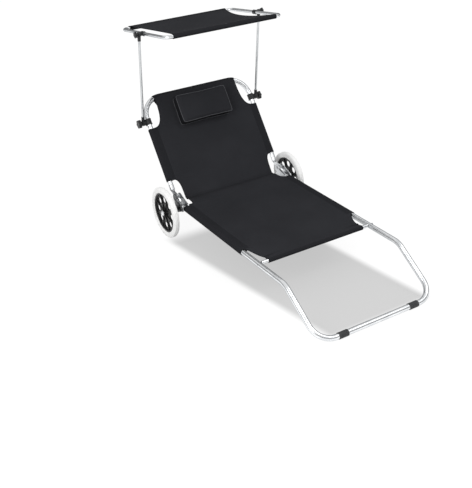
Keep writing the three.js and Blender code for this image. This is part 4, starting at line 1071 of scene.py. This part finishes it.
@dataclass
class CanopyArms(SubAssembly):
    """Rods, their moulded sockets, the pivot bolts and the knobs."""

    body: str = "canopy_arms"
    x: float = 334.0
    rod: float = 6.0
    rod_bore: float = 0.8
    inner: float = 327.8
    outer: float = 340.2
    lower_eye: float = 14.0
    upper_eye: float = 11.0
    grip: float = 22.0
    lower_head: float = 317.8
    upper_head: float = 320.3
    lower_grip: tuple = (20.0, 17.0)
    upper_grip: tuple = (13.5, 12.0)
    lobes: int = 6
    lobe: float = 2.6
    collar: float = 8.5

    def build(self) -> None:
        """Makes the arms' pieces and what turns on their pivots."""
        path = spread(self.x, np.array([self.lower_eye, 60, 400, ARM_LENGTH - self.upper_eye]), 0)
        rod = swept_tube(path, self.rod, self.rod_bore, X_WAY)
        self.pair("arm_rod", rod, self.finishes.rod, Slot.TUBE)
        plastic = (self.finishes.plastic, Slot.PLASTIC)
        self.pair("lower_socket", self.socket(self.lower_eye, 0, 1), *plastic)
        self.pair("upper_socket", self.socket(self.upper_eye, ARM_LENGTH, -1), *plastic)
        steel = (self.finishes.steel, Slot.STEEL)
        self.pair("lower_bolt", self.bolt(self.lower_head), *steel, "lower_bolts")
        self.pair("upper_bolt", self.bolt(self.upper_head).moved(0, ARM_LENGTH), *steel, "upper_bolts")
        self.pair("lower_knob", self.knob(*self.lower_grip), *plastic, "lower_knob_SIDE", 45)
        self.pair("upper_knob", self.knob(*self.upper_grip).moved(0, ARM_LENGTH), *plastic, "upper_knob_SIDE", 45)

    def socket(self, eye: float, along: float, way: int) -> Surface:
        """A round eye on the pivot and a neck with a lip round the rod.

        Args:
            eye: the eye's radius.
            along: the pivot's place along the rod.
            way: 1 where the neck points up the rod, -1 where it points down.
        Returns:
            The left socket.
        """
        low, high, bolt = self.inner, self.outer, 3.8
        cheek = turned([(low, bolt), (low, eye - 1), (low + 1, eye), (high - 1, eye), (high, eye - 1), (high, bolt)],
                       0.6, 56, closed=True)
        reach, bore = eye + self.grip, self.rod + 0.2
        neck = turned([(eye - 3, bore), (eye - 3, 8.2), (eye + 6, 8.2), (reach - 3, 7.9), (reach - 2, 8.2),
                       (reach, 8.2), (reach, bore)], 0.6, 40, closed=True)
        neck.points = neck.points[:, [1, 0, 2]] * (1, way, 1)
        return joined(cheek, neck.outwards().moved(self.x)).moved(0, along)

    def bolt(self, head: float) -> Surface:
        """Round head with a recess, and a shank into the knob.

        Args:
            head: the head's outer face.
        Returns:
            The left bolt.
        """
        end = self.outer + 14
        profile = [(head + 1.2, 0), (head + 1.2, 2.6), (head, 3), (head, 6), (head + 3, 6), (head + 3, 3.5), (end, 3.5)]
        return turned(profile + [(end, 0)], 0.4)

    def knob(self, radius: float, thick: float) -> Surface:
        """A lobed knob with a collar and a dished face.

        Args:
            radius: the grip's radius.
            thick: its thickness.
        Returns:
            The left knob.
        """
        face, head, end = self.outer + FIT, self.outer + 6.3, self.outer + 14.3
        def lobed(r: np.ndarray, a: np.ndarray) -> np.ndarray:
            """The radius r + 2.6 k cos 6a, where k runs from 0 at the collar to 1 at the rim."""
            share = np.clip((r - self.collar - 0.1) / (radius - self.collar - 0.1), 0, 1)
            return r + self.lobe * share * np.cos(self.lobes * a)
        profile = [(end, 0), (end, 3.8), (face, 3.8), (face, self.collar), (head, self.collar)]
        grip = [(0.4, 4), (2.6, 0), (thick - 2.8, 0), (thick - 0.4, 2.6), (thick, 5), (thick - 1.2, 7)]
        profile += [(head + a, radius - b) for a, b in grip] + [(head + thick - 1.5, 0)]
        return turned(profile, 1.3, 96, lobes=lobed)


@dataclass
class CanopyFrame(SubAssembly):
    """The canopy's bent tube and the clamps on its ends."""

    body: str = "canopy"
    half: float = 312.0
    bend: float = 35.0
    wall: float = 1.2
    gap: float = 0.5
    clamp_wall: float = 3.2
    boss: float = 9.5
    clamp_length: float = 22.0

    def build(self) -> None:
        """Makes the tube and the upper clamps."""
        a, b, g = self.half, CANOPY_EDGE, self.gap
        corners = [(x, y, 0) for x, y in ((-g, b), (-a, b), (-a, -b), (a, -b), (a, b), (g, b))]
        line = bent_path(corners, [0, *[self.bend] * 4, 0])
        loop = swept_tube(line, CANOPY_TUBE, CANOPY_TUBE - self.wall, Z_WAY)
        self.piece("bent_canopy_tube", loop, self.finishes.tube, Slot.TUBE, ("canopy_frame",))
        clamp = tube_clamp(a, CANOPY_TUBE, self.clamp_wall, self.boss, self.clamp_length)
        self.pair("upper_clamp", clamp, self.finishes.plastic, Slot.PLASTIC)


# ---------------------------------------------------------------- cloth


@dataclass
class StretchedCloth(SubAssembly):
    """What the two stretched cloths have in common: their thickness and the strips round their tubes."""

    sheet: float = 1.4
    flat: tuple = (0.0, 0.0)
    cut_share: float = 1.0

    def dressed(self, name: str, surface: Surface) -> bpy.types.Object:
        """The cloth as an object with its finish and thickness.

        Args:
            name: the piece's name.
            surface: the cloth's middle surface.
        Returns:
            The object.
        """
        made = welded_object(name, surface, self.axes, 70)
        made.data.materials.append(self.finishes.cloth)
        skin = made.modifiers.new("cloth_thickness", "SOLIDIFY")
        skin.thickness, skin.offset = self.sheet * MM, 0.0
        self.pieces.append(made)
        LOG.info("%s: %d faces", name, len(made.data.polygons))
        return made

    def strip(self, starts: np.ndarray, away: tuple | np.ndarray, radius: float, seam: np.ndarray) -> Surface:
        """Cloth that goes round a tube and back to its panel: c + r (away sin a + up cos a), then straight to the seam.

        Args:
            starts: the tube's axis beside each column, columns x 3.
            away: direction out of the panel, one or columns x 3.
            radius: the strip's radius round the tube.
            seam: where each column is sewn to the panel, columns x 3.
        Returns:
            The strip, its first row on top of the tube.
        """
        away = np.broadcast_to(np.array(away, float), starts.shape)
        inward, high = -((seam - starts) * away).sum(1), (seam - starts)[:, 2]
        leave = FULL - np.arctan2(inward, high) - np.arccos(radius / np.hypot(inward, high))
        a = (leave * np.linspace(0, 1, 25)[:, None])[..., None]
        round_tube = starts + radius * (away * np.sin(a) + np.array(Z_WAY) * np.cos(a))
        t = np.linspace(0, 1, 7)[1:, None, None]
        made = lattice(np.concatenate([round_tube, round_tube[-1] * (1 - t) + seam * t])).marked(UNSEWN, 1)
        faces_up = np.cross(starts[1] - starts[0], away[0])[2] > 0
        return made if faces_up else made.flipped()


def cut_out(end: float, sleeve: float, half: float, power: float, steps: int) -> np.ndarray:
    """Rows where a panel narrows: (end + (sleeve - end) q, half + (RAIL_X - half)(1 - (1 - q^power)^(1 / power))).

    Args:
        end: position of the panel's end.
        sleeve: where its sleeve begins.
        half: half width at the end.
        power: how square the cut-out is.
        steps: how many rows.
    Returns:
        rows x 2, from the end to the sleeve.
    """
    q = np.sin(QUARTER * np.linspace(0, 1, steps))
    opening = 1 - (1 - np.clip(q, 0, 1) ** power) ** (1 / power)
    return np.stack([end + (sleeve - end) * q, half + (RAIL_X - half) * opening], 1)


def straight_rows(start: float, end: float, steps: int) -> np.ndarray:
    """Rows between two positions, without these, where a panel has its full width."""
    return np.stack([np.linspace(start, end, steps)[1:-1], np.full(steps - 2, RAIL_X)], 1)


@dataclass
class BedCloth(StretchedCloth):
    """One length of cloth from the front hem over the seat, down through the crease and up the backrest."""

    level: float = 186.7
    back_level: float = -13.3
    front: float = 762.0
    crease_y: float = 40.0
    back_start: float = -10.0
    seat_sleeve: tuple = (103.0, 630.0)
    back_sleeve: tuple = (92.0, 371.0)
    front_half: float = 258.0
    crease_half: float = 259.0
    top_half: float = 235.9
    front_power: float = 1.6
    crease_power: float = 3.8
    top_power: float = 3.0
    seat_sag: float = 9.0
    back_sag: float = 8.0
    droop: float = 12.0
    pull: float = 0.5
    pull_pitch: float = 23.0
    pull_reach: float = 60.0
    pinch: float = 2.5
    seat_steps: int = 15
    back_steps: int = 17
    straight_steps: int = 26
    seam_in: float = 33.0
    hem_in: float = 9.0
    front_seam: float = 30.0
    crease_seam: float = 7.0
    top_seam: float = 118.0
    cross: tuple = (-762.0, 176.5, 10.2)
    flat: tuple = (0.79, 1.52)
    cut_share: float = 0.85

    def build(self) -> None:
        """Makes the cloth, its sleeves and hems, and the crease where it bends round the fold."""
        s, near = self.columns(), 1e-6
        y = self.seat_rows()[:, 0]
        y = y[(y >= self.seat_sleeve[0] - near) & (y <= self.seat_sleeve[1] + near)]
        t = (y - self.crease_y) / (self.front - self.crease_y)
        sleeves = [self.sleeve(side, -y, t, self.level, self.seat_sag) for side in Side]
        bed = [self.seat(s), *sleeves, self.front_hem(s)]
        y, share, _ = self.back_rows().T
        y = np.unique(np.r_[y[(share == 0) & (y >= self.back_sleeve[0] - near)], self.back_sleeve[1]])
        t = (y - self.back_start) / (BACK_TOP - self.back_start)
        sleeves = [self.sleeve(side, y, t, self.back_level, self.back_sag) for side in Side]
        up = [part.turned_x(RECLINE).moved(0, *FOLD) for part in (self.panel(s), *sleeves, self.top_hem(s))]
        cloth = self.dressed("bed_cloth", joined(*bed, self.crease(bed[0], up[0], len(s)), *up))
        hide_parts("seat_cloth", "back_cloth")
        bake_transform(cloth)

    def columns(self) -> np.ndarray:
        """Shares of the half width, with columns close beside the sewn lines so that these stay sharp.

        Returns:
            The shares from -1 to 1.
        """
        seam, hem, near = 1 - self.seam_in / RAIL_X, 1 - self.hem_in / RAIL_X, 3 / RAIL_X
        half = np.r_[np.linspace(0, seam - near, 15), seam, seam + near, hem - near, hem, hem + near, 1]
        return np.r_[-half[:0:-1], half]

    def seat_rows(self) -> np.ndarray:
        """The seat's rows from the front hem to the crease.

        Returns:
            Distances in front of the axle and half widths, rows x 2.
        """
        low, high = self.seat_sleeve
        front = cut_out(self.front, high, self.front_half, self.front_power, self.seat_steps)
        rear = cut_out(self.crease_y, low, self.crease_half, self.crease_power, self.seat_steps)
        return np.concatenate([front, straight_rows(high, low, self.straight_steps), rear[::-1]])

    def back_rows(self) -> np.ndarray:
        """The back's rows from the crease to the top bar.

        Returns:
            Positions up the backrest, shares of the way on from there to the bar, and half widths, rows x 3.
        """
        low, high = self.back_sleeve
        rise = cut_out(self.back_start, low, self.crease_half, self.crease_power, self.back_steps)
        rows = np.concatenate([rise, straight_rows(low, high, self.back_steps)])
        top = cut_out(1.0, 0.0, self.top_half, self.top_power, self.back_steps)[::-1]
        return np.concatenate([np.insert(rows, 1, 0.0, axis=1), np.insert(top, 0, high, axis=1)])

    def marks(self, grid: np.ndarray, half: np.ndarray, along: np.ndarray, rows: tuple, sleeve: tuple) -> Surface:
        """A panel that knows how far each point is from the nearest sewn line, and where the cloth lies in two layers.

        Args:
            grid: the panel's points.
            half: half width of each row.
            along: the points' position along the panel.
            rows: positions of the lines sewn across.
            sleeve: between which positions the side seams run.
        Returns:
            The panel.
        """
        x = np.abs(grid[..., 0])
        inside = (along >= sleeve[0] - 1e-6) & (along <= sleeve[1] + 1e-6)
        edge = np.where(inside, RAIL_X - self.seam_in, half * (1 - self.hem_in / RAIL_X))
        across = np.min([np.abs(along - r) for r in rows], axis=0)
        return lattice(grid).marked(np.minimum(np.abs(x - edge), across), x > edge)

    def seat(self, s: np.ndarray) -> Surface:
        """The seat panel: x = s half(y), z = level - hang(s, t) - droop sin(pi q) s^4, with faint pull lines.

        Args:
            s: shares of the half width.
        Returns:
            The panel.
        """
        y, half = self.seat_rows().T
        front, rear = self.front - self.front_seam, self.crease_y + self.crease_seam
        keep = (np.abs(y - front) > 2.9) & (np.abs(y - rear) > 2)
        rows = np.sort(np.r_[y[keep], front - 3, front, front + 3, rear - 1, rear + 1])[::-1]
        half = np.interp(-rows, -y, half)[:, None]
        y, x = rows[:, None], s * half
        t = (y - self.crease_y) / (self.front - self.crease_y)
        ahead = self.front - y
        fade = np.exp(-ahead / self.pull_reach) * (t < 0.999) * (1 - s**2) * np.clip(ahead / 10, 0, 1)
        pull = self.pull * np.sin(x / self.pull_pitch + 0.7) * fade
        q = np.clip(ahead / (self.front - self.seat_sleeve[1]), 0, 1)
        z = self.level - hang(self.seat_sag, s, t) + pull - self.droop * np.sin(math.pi * q) * s**4
        return self.marks(spread(x, -y, z), half, y, (front, rear), self.seat_sleeve)

    def sleeve(self, side: Side, y: np.ndarray, t: np.ndarray, level: float, sag: float) -> Surface:
        """The sleeve round a side rail or a side of the backrest tube.

        Args:
            side: which side.
            y: positions along the tube.
            t: the same as shares of the panel's length.
            level: height of the panel's face.
            sag: how far the panel hangs in its middle.
        Returns:
            The strip.
        """
        s = 1 - self.seam_in / RAIL_X
        seam = spread(side.value * RAIL_X * s, y, level - hang(sag, s, t) - UNDER_PANEL)
        return self.strip(spread(side.value * RAIL_X, y, level - WRAP), (side.value, 0, 0), WRAP, seam)

    def front_hem(self, s: np.ndarray) -> Surface:
        """The hem round the cross tube.

        Args:
            s: shares of the half width.
        Returns:
            The strip.
        """
        (y, z, r), t = self.cross, 1 - self.front_seam / (self.front - self.crease_y)
        x = s * self.front_half
        seam = spread(x, y + self.front_seam, self.level - hang(self.seat_sag, s, t) - UNDER_PANEL)
        return self.strip(spread(x, y, z), (0, -1, 0), r, seam)

    def top_line(self, x: np.ndarray) -> np.ndarray:
        """How far up the backrest the tube's top line lies at x: level on the bar, and the bend's circle beyond it."""
        over = np.clip(np.abs(x) - (RAIL_X - BACK_BEND), 0, BACK_BEND)
        return BACK_TOP - BACK_BEND + np.sqrt(BACK_BEND**2 - over**2)

    def panel(self, s: np.ndarray) -> Surface:
        """The back panel: it narrows to the top bar and its last row follows the bar's line.

        Args:
            s: shares of the half width.
        Returns:
            The panel.
        """
        low, share, half = self.back_rows().T[..., None]
        x = s * half
        y = low + share * (self.top_line(x) - low)
        t = (y - self.back_start) / (BACK_TOP - self.back_start)
        seams = (self.back_start + self.crease_seam, BACK_TOP - self.top_seam)
        return self.marks(spread(x, y, self.back_level - hang(self.back_sag, s, t)), half, y, seams, self.back_sleeve)

    def top_hem(self, s: np.ndarray) -> Surface:
        """The hem round the top bar and its bends, which comes back down behind the panel to a seam.

        Args:
            s: shares of the half width.
        Returns:
            The strip.
        """
        x, width = s * self.top_half, (RAIL_X - BACK_BEND) / self.top_half
        over = np.clip(np.abs(x) - (RAIL_X - BACK_BEND), 0, BACK_BEND) / BACK_BEND
        away = spread(np.sign(x) * over, np.sqrt(1 - over**2), 0)
        t = 1 - self.top_seam / (BACK_TOP - self.back_start)
        drop = hang(self.back_sag, s * width, t)
        seam = spread(x * width, BACK_TOP - self.top_seam, self.back_level - drop - UNDER_PANEL)
        return self.strip(spread(x, self.top_line(x), self.back_level - WRAP), away, WRAP, seam)

    def crease(self, seat: Surface, panel: Surface, columns: int) -> Surface:
        """The bend between seat and back: points turn about the fold axis from one edge to the other.

        Args:
            seat: the seat panel, whose last row starts the crease.
            panel: the back panel in the bed's axes, whose first row ends it.
            columns: how many points a row has.
        Returns:
            The crease.
        """
        first, last = seat.points[-columns:], panel.points[:columns]
        a, b = first[:, 1:] - FOLD, last[:, 1:] - FOLD
        t = np.linspace(0, 1, self.seat_steps)[:, None]
        angle = np.arctan2(a[:, 1], a[:, 0]) * (1 - t) + np.arctan2(b[:, 1], b[:, 0]) * t
        radius = np.linalg.norm(a, axis=1) * (1 - t) + np.linalg.norm(b, axis=1) * t - self.pinch * np.sin(math.pi * t)
        x = first[:, 0] * (1 - t) + last[:, 0] * t
        grid = spread(x, FOLD[0] + radius * np.cos(angle), FOLD[1] + radius * np.sin(angle))
        # Half the two-layer darkening, which paints shade into the bend of the crease.
        return lattice(grid).marked(UNSEWN, 0.5)


@dataclass
class CanopyCloth(StretchedCloth):
    """The canopy's panel with concave short edges, sleeves round the long tubes and inner hems."""

    body: str = "canopy"
    half: float = 277.0
    scooped: float = 44.0
    dip: float = 15.0
    firm: float = 0.1
    hem: float = 34.0
    hem_half: float = 262.0
    edge_hem: float = 10.0
    flat: tuple = (0.555, 0.630)
    cut_share: float = 0.93

    def build(self) -> None:
        """Makes the canopy cloth."""
        s, rows, seam = np.linspace(-1, 1, 41), np.linspace(-1, 1, 49), 1 - self.hem / CANOPY_EDGE
        near = [sign * seam + step for sign in (1, -1) for step in (0, 0.012, -0.012)]
        rows = np.unique(np.r_[rows[np.abs(np.abs(rows) - seam) > 0.014], near])[:, None]
        half = self.half - self.scooped * (1 - rows**2)
        x = s * half
        panel = lattice(spread(x, CANOPY_EDGE * rows, CANOPY_WRAP - self.drop(s, rows)))
        inner, outer = half - np.abs(x), CANOPY_EDGE * (np.abs(rows) - seam)
        sewn = np.minimum(np.abs(outer), np.abs(inner - self.edge_hem))
        panel = panel.marked(sewn, (outer > 0) | (inner < self.edge_hem))
        made = self.dressed("canopy_cover", joined(panel, *[self.long_hem(s, way) for way in (1, -1)]))
        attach(made, self.body)
        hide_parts("canopy_cloth")

    def drop(self, s: np.ndarray, row: float | np.ndarray) -> np.ndarray:
        """How far the panel hangs: dip (1 - firm s^2)(1 - row^2)."""
        return self.dip * (1 - self.firm * s**2) * (1 - row**2)

    def long_hem(self, s: np.ndarray, way: int) -> Surface:
        """The sleeve round one long tube and its inner hem.

        Args:
            s: shares of the half width.
            way: 1 for the tube at the head's end, -1 for the other.
        Returns:
            The strip.
        """
        drop = self.drop(s, 1 - self.hem / CANOPY_EDGE) + UNDER_PANEL
        seam = spread(s * self.hem_half, way * (CANOPY_EDGE - self.hem), CANOPY_WRAP - drop)
        return self.strip(spread(s * self.half, way * CANOPY_EDGE, 0), (0, way, 0), CANOPY_WRAP, seam)


@dataclass
class Pillow(SubAssembly):
    """The small headrest pillow: two panels, a gusset and piping, puffed up by a cloth simulation."""

    body: str = "backrest"
    width: float = 290.0
    height: float = 146.0
    thickness: float = 50.0
    middle: float = 423.0
    base: float = -12.3
    sag: float = 8.0
    span: tuple = (-10.0, 526.0)
    start: float = 43.0
    cells: tuple = (58, 30, 8)
    cap: float = 8.0
    hold: tuple = (0.2, 0.2, 1.0)
    frames: int = 20
    pressure: float = 4.0
    stretch_stiffness: float = 25.0
    bend_stiffness: float = 0.8
    piping_radius: float = 1.7

    def rear(self, x: np.ndarray, y: np.ndarray) -> np.ndarray:
        """Height of the back cloth's face behind the pillow, y from the fold axis."""
        return self.base - hang(self.sag, x / RAIL_X, (y - self.span[0]) / (self.span[1] - self.span[0]))

    def place(self, a: np.ndarray, b: np.ndarray, c: np.ndarray) -> np.ndarray:
        """Box shares to millimetres, a sqrt(1 - 0.05 b^8) and b sqrt(1 - 0.06 a^16) of the half sizes."""
        x, y = a * np.sqrt(1 - 0.05 * b**8), b * np.sqrt(1 - 0.06 * a**16)
        return spread(x * (self.width / 2 - 2), y * (self.height / 2 - 2), c * self.start)

    def shell(self) -> tuple:
        """The flat start: a box grid with rounded corners.

        Returns:
            Points in millimetres, faces, lengths, and the two seams as loops of point numbers.
        """
        nx, ny, nz = self.cells
        u, v, w = np.linspace(-1, 1, nx + 1), np.linspace(-1, 1, ny + 1), np.linspace(0, 1, nz + 1)
        front, rear = (self.place(u[None], v[:, None], np.full((1, 1), c)) for c in (1.0, 0.0))
        legs = [(u[:-1], -1.0), (1.0, v[:-1]), (u[:0:-1], 1.0), (-1.0, v[:0:-1])]
        rim = np.concatenate([np.stack(np.broadcast_arrays(*leg), 1) for leg in legs])
        side = self.place(rim[None, :, 0], rim[None, :, 1], w[:, None])
        whole = joined(lattice(front), lattice(rear).flipped(), lattice(side, wrap_columns=True))
        points, back = np.unique(np.round(whole.points, 4), axis=0, return_inverse=True)
        back = back.ravel()
        at, count = front.size // 3 * 2, len(rim)
        loops = (back[at + nz * count: at + (nz + 1) * count], back[at: at + count])
        return points, back[whole.faces], whole.lengths, loops

    def puffed(self, points: np.ndarray, faces: np.ndarray) -> np.ndarray:
        """The shell after some frames of cloth with pressure inside and no gravity, each point's way capped.

        Args:
            points: the start in millimetres.
            faces: its faces.
        """
        mesh = bpy.data.meshes.new("pillow_start")
        mesh.from_pydata((points * MM).tolist(), [], faces.tolist())
        stand = linked("pillow_start", mesh)
        cloth = stand.modifiers.new("puff", "CLOTH")
        settings = cloth.settings
        settings.quality, settings.use_pressure = 6, True
        settings.uniform_pressure_force = self.pressure
        settings.tension_stiffness = settings.compression_stiffness = self.stretch_stiffness
        settings.bending_stiffness = self.bend_stiffness
        settings.effector_weights.gravity = 0.0
        cloth.collision_settings.use_collision = False
        for frame in range(1, self.frames + 1):
            bpy.context.scene.frame_set(frame)
        shape = stand.evaluated_get(bpy.context.evaluated_depsgraph_get())
        out = np.empty(len(points) * 3, np.float32)
        shape.data.vertices.foreach_get("co", out)
        bpy.data.objects.remove(stand)
        bpy.context.scene.frame_set(1)
        way = (out.reshape(-1, 3) / MM - points) * self.hold
        far = np.linalg.norm(way, axis=1, keepdims=True)
        return points + way * np.minimum(1, self.cap / np.maximum(far, 1e-9))

    def build(self) -> None:
        """Makes the pillow and its two rows of piping."""
        points, faces, lengths, loops = self.shell()
        shape = self.puffed(points, faces)
        y = shape[:, 1] + self.middle
        rear = self.rear(shape[:, 0], y) + 0.6
        share = np.clip(shape[:, 2], 0, None) / shape[:, 2].max()
        placed = spread(shape[:, 0], y, rear + share * (self.thickness + self.base - FIT - rear))
        # The gusset's side walls are marked for the two-layer darkening, which paints shade on them.
        gusset = (points[:, 2] > 0.1) & (points[:, 2] < self.start - 0.1)
        surface = Surface(placed, faces, lengths).outwards().marked(UNSEWN, gusset)
        cushion = welded_object("headrest_pillow", surface, self.axes, 180)
        cushion.data.materials.append(self.finishes.pillow)
        smooth = cushion.modifiers.new("rounding", "SUBSURF")
        smooth.levels = smooth.render_levels = 1
        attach(cushion, self.body)
        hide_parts("pillow")
        self.pieces.append(cushion)
        LOG.info("headrest_pillow: %d faces", len(cushion.data.polygons))
        for word, loop in zip(("front", "rear"), loops):
            self.piece(f"piping_{word}", self.piping(placed[loop]), self.finishes.piping, Slot.PILLOW, (), smooth=80)

    def piping(self, line: np.ndarray) -> Surface:
        """A round cord sewn along a closed seam: p + r (out cos a + up sin a).

        Args:
            line: the seam's points in millimetres.
        Returns:
            The closed ring.
        """
        way = np.roll(line, -1, 0) - np.roll(line, 1, 0)
        way /= np.linalg.norm(way, axis=1)[:, None]
        out = np.cross(way, Z_WAY)
        grid = line[:, None] + self.piping_radius * rings(out, np.cross(out, way), 12)
        return lattice(grid, wrap_rows=True, wrap_columns=True).outwards()


# ---------------------------------------------------------------- studio


@dataclass(frozen=True)
class Lamp:
    """A broad square lamp aimed at the middle of the lounger, in metres and watts."""

    name: str
    where: tuple
    size: float
    watts: float
    aim: tuple = (0.0, 0.0, 0.4)

    def build(self) -> None:
        """Makes the lamp."""
        data = bpy.data.lights.new(self.name, "AREA")
        data.shape, data.size, data.size_y, data.energy = "RECTANGLE", self.size, self.size, self.watts
        made = linked(self.name, data)
        made.location = self.where
        made.rotation_euler = (Vector(self.aim) - Vector(self.where)).to_track_quat("-Z", "Y").to_euler()


@dataclass
class Studio:
    """Plain pale floor with a painted soft shadow under the bed, white surroundings, two broad lamps and the camera."""

    eye: tuple = (-1.924, -2.991, 1.994)
    across: tuple = (0.85323469, -0.51980454, -0.04235332)
    upward: tuple = (0.2853232, 0.397277, 0.87221652)
    back: tuple = (-0.4366, -0.7563, 0.4873)
    lens: float = 61.1
    sensor: float = 36.0
    lamps: tuple = (Lamp("key", (2.7, -2.6, 5.8), 2.4, 66), Lamp("fill", (-4.6, -2.4, 3.0), 3.2, 118))
    floor_half: float = 12.0
    glow: float = 0.9
    seen_grey: float = 0.13
    unseen_grey: float = 0.5
    # How deep the painted shadow under the bed is, and where its soft edges lie: a grey slab painted into the floor.
    patch: float = 0.42
    patch_right: tuple = (-0.11, 0.211)
    patch_left: tuple = (-0.15, -0.345)
    patch_rear: tuple = (0.27, 0.39)
    patch_front: tuple = (-0.815, -0.76)
    patch_soft: float = 0.028
    light_level: float = 0.8
    reflected: tuple = ((0.0, 0.6), (0.05, 0.34), (0.42, 0.42), (0.6, 1.0))

    def build(self) -> None:
        """Makes the floor, the world, the lamps and the camera."""
        self.camera()
        self.floor()
        self.world()
        for lamp in self.lamps:
            lamp.build()
        bpy.context.scene.view_settings.view_transform = "Standard"

    def camera(self) -> None:
        """The camera at the photograph's viewing angle."""
        data = bpy.data.cameras.new("camera")
        data.lens, data.sensor_width = self.lens, self.sensor
        data.clip_start, data.clip_end = 0.05, 50
        made = linked("camera", data)
        matrix = np.eye(4)
        matrix[:3] = np.transpose((self.across, self.upward, self.back, self.eye))
        made.matrix_world = Matrix(matrix.tolist())
        bpy.context.scene.camera = made

    def floor(self) -> None:
        """A wide floor that clips to white in the open and keeps the shadows as light grey.

        The painted shadow is 1 between two slanting lines x = a y + b and two lines across, with soft edges, and 0
        outside; where it is 1 the floor's glow is lowered to a light grey, like a shadow under the bed.
        """
        mesh, r = bpy.data.meshes.new("floor"), self.floor_half
        mesh.from_pydata([(-r, -r, 0), (r, -r, 0), (r, r, 0), (-r, r, 0)], [], [(0, 1, 2, 3)])
        made = linked("floor", mesh)
        b = Finish("pale_floor")
        x, y = b.node("SeparateXYZ", {0: b.node("TexCoord").outputs["Object"]}).outputs[:2]
        # Painted shadow: a soft-edged slab under the bed and in front of the seat takes part of the floor's glow away.
        right, left = (b.maths("SUBTRACT", x, b.maths("MULTIPLY_ADD", y, *line))
                       for line in (self.patch_right, self.patch_left))
        right = b.ramp(right, -self.patch_soft, self.patch_soft, 1, 0)
        left = b.ramp(left, -self.patch_soft, self.patch_soft, 0, 1)
        rear, front = b.ramp(y, *self.patch_rear, 1, 0), b.ramp(y, *self.patch_front, 0, 1)
        patch = b.maths("MULTIPLY", b.maths("MULTIPLY", right, left), b.maths("MULTIPLY", rear, front))
        shade = b.maths("SUBTRACT", 1.0, b.maths("MULTIPLY", patch, self.patch))
        camera = b.node("LightPath").outputs["Is Camera Ray"]
        b.finish(b.mix(camera, (self.unseen_grey,) * 3, (self.seen_grey,) * 3), 0.9, Specular_IOR_Level=0.1)
        strength = b.maths("MULTIPLY", b.maths("MULTIPLY", shade, b.seen()), self.glow)
        glow = b.node("Emission", {"Color": WHITE, "Strength": strength})
        both = b.node("AddShader", {0: b.shader.outputs[0], 1: glow.outputs[0]})
        b.put(b.tree.nodes["Material Output"].inputs["Surface"], both.outputs[0])
        mesh.materials.append(b.material)

    def world(self) -> None:
        """White to the camera, bands of grey in reflections, and a plain soft level for the light itself."""
        world = bpy.data.worlds.new("surroundings")
        bpy.context.scene.world = world
        world.use_nodes = True
        b = Board(world.node_tree)
        plain = b.tree.nodes["Background"]
        b.put(plain.inputs["Color"], WHITE)
        b.put(plain.inputs["Strength"], self.light_level)
        height = b.node("SeparateXYZ", {0: b.node("TexCoord").outputs["Generated"]}).outputs[2]
        band = b.node("ValToRGB", {0: height})
        stops = band.color_ramp.elements
        stops[0].color = (*[self.reflected[0][1]] * 3, 1)
        for place, grey in self.reflected[1:]:
            stops.new(place).color = (grey, grey, grey, 1)
        shown = b.mix(b.node("LightPath").outputs["Is Glossy Ray"], WHITE, band.outputs[0])
        white = b.node("Background", {"Color": shown, "Strength": 1.0})
        mixed = b.node("MixShader", {0: b.seen(), 1: plain.outputs[0], 2: white.outputs[0]})
        b.put(b.tree.nodes["World Output"].inputs["Surface"], mixed.outputs[0])


def dress_inner_fittings(nodes: dict, finishes: Finishes) -> None:
    """Gives the fittings inside the hinges and the joint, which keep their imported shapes, their steel.

    Args:
        nodes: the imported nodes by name.
        finishes: the lounger's finishes.
    """
    for name, made in nodes.items():
        if name.startswith(("ratchet", "pawl_spring", "canopy_joiner")):
            made.data.materials.clear()
            made.data.materials.append(finishes.steel)
            LOG.info("%s keeps its packed shape", name)


def main() -> None:
    """Builds the whole scene."""
    logging.basicConfig(level=logging.INFO, format="%(name)s %(message)s")
    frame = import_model()
    low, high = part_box("axle")
    bed = Placement(np.eye(3), np.array([0.0, (low[1] + high[1]) / 2 / MM, 0.0]))
    back = bed.inside(RECLINE, (0, *FOLD))
    arms = back.inside(ARM_ANGLE, (0, ARM_PIVOT, BACK_TUBE_LEVEL))
    canopy = arms.inside(CANOPY_ANGLE, (0, ARM_LENGTH, 0))
    finishes = Finishes()
    Studio().build()
    places = ((BedFrame, bed), (Hinge, bed), (Wheels, bed), (Backrest, back), (CanopyArms, arms),
              (CanopyFrame, canopy), (BedCloth, bed), (CanopyCloth, canopy), (Pillow, back))
    for kind, axes in places:
        part = kind(axes, finishes)
        part.build()
        LOG.info("%s: %d pieces", kind.__name__, len(part.pieces))
    dress_inner_fittings(frame["nodes"], finishes)


if __name__ == "__main__":
    main()
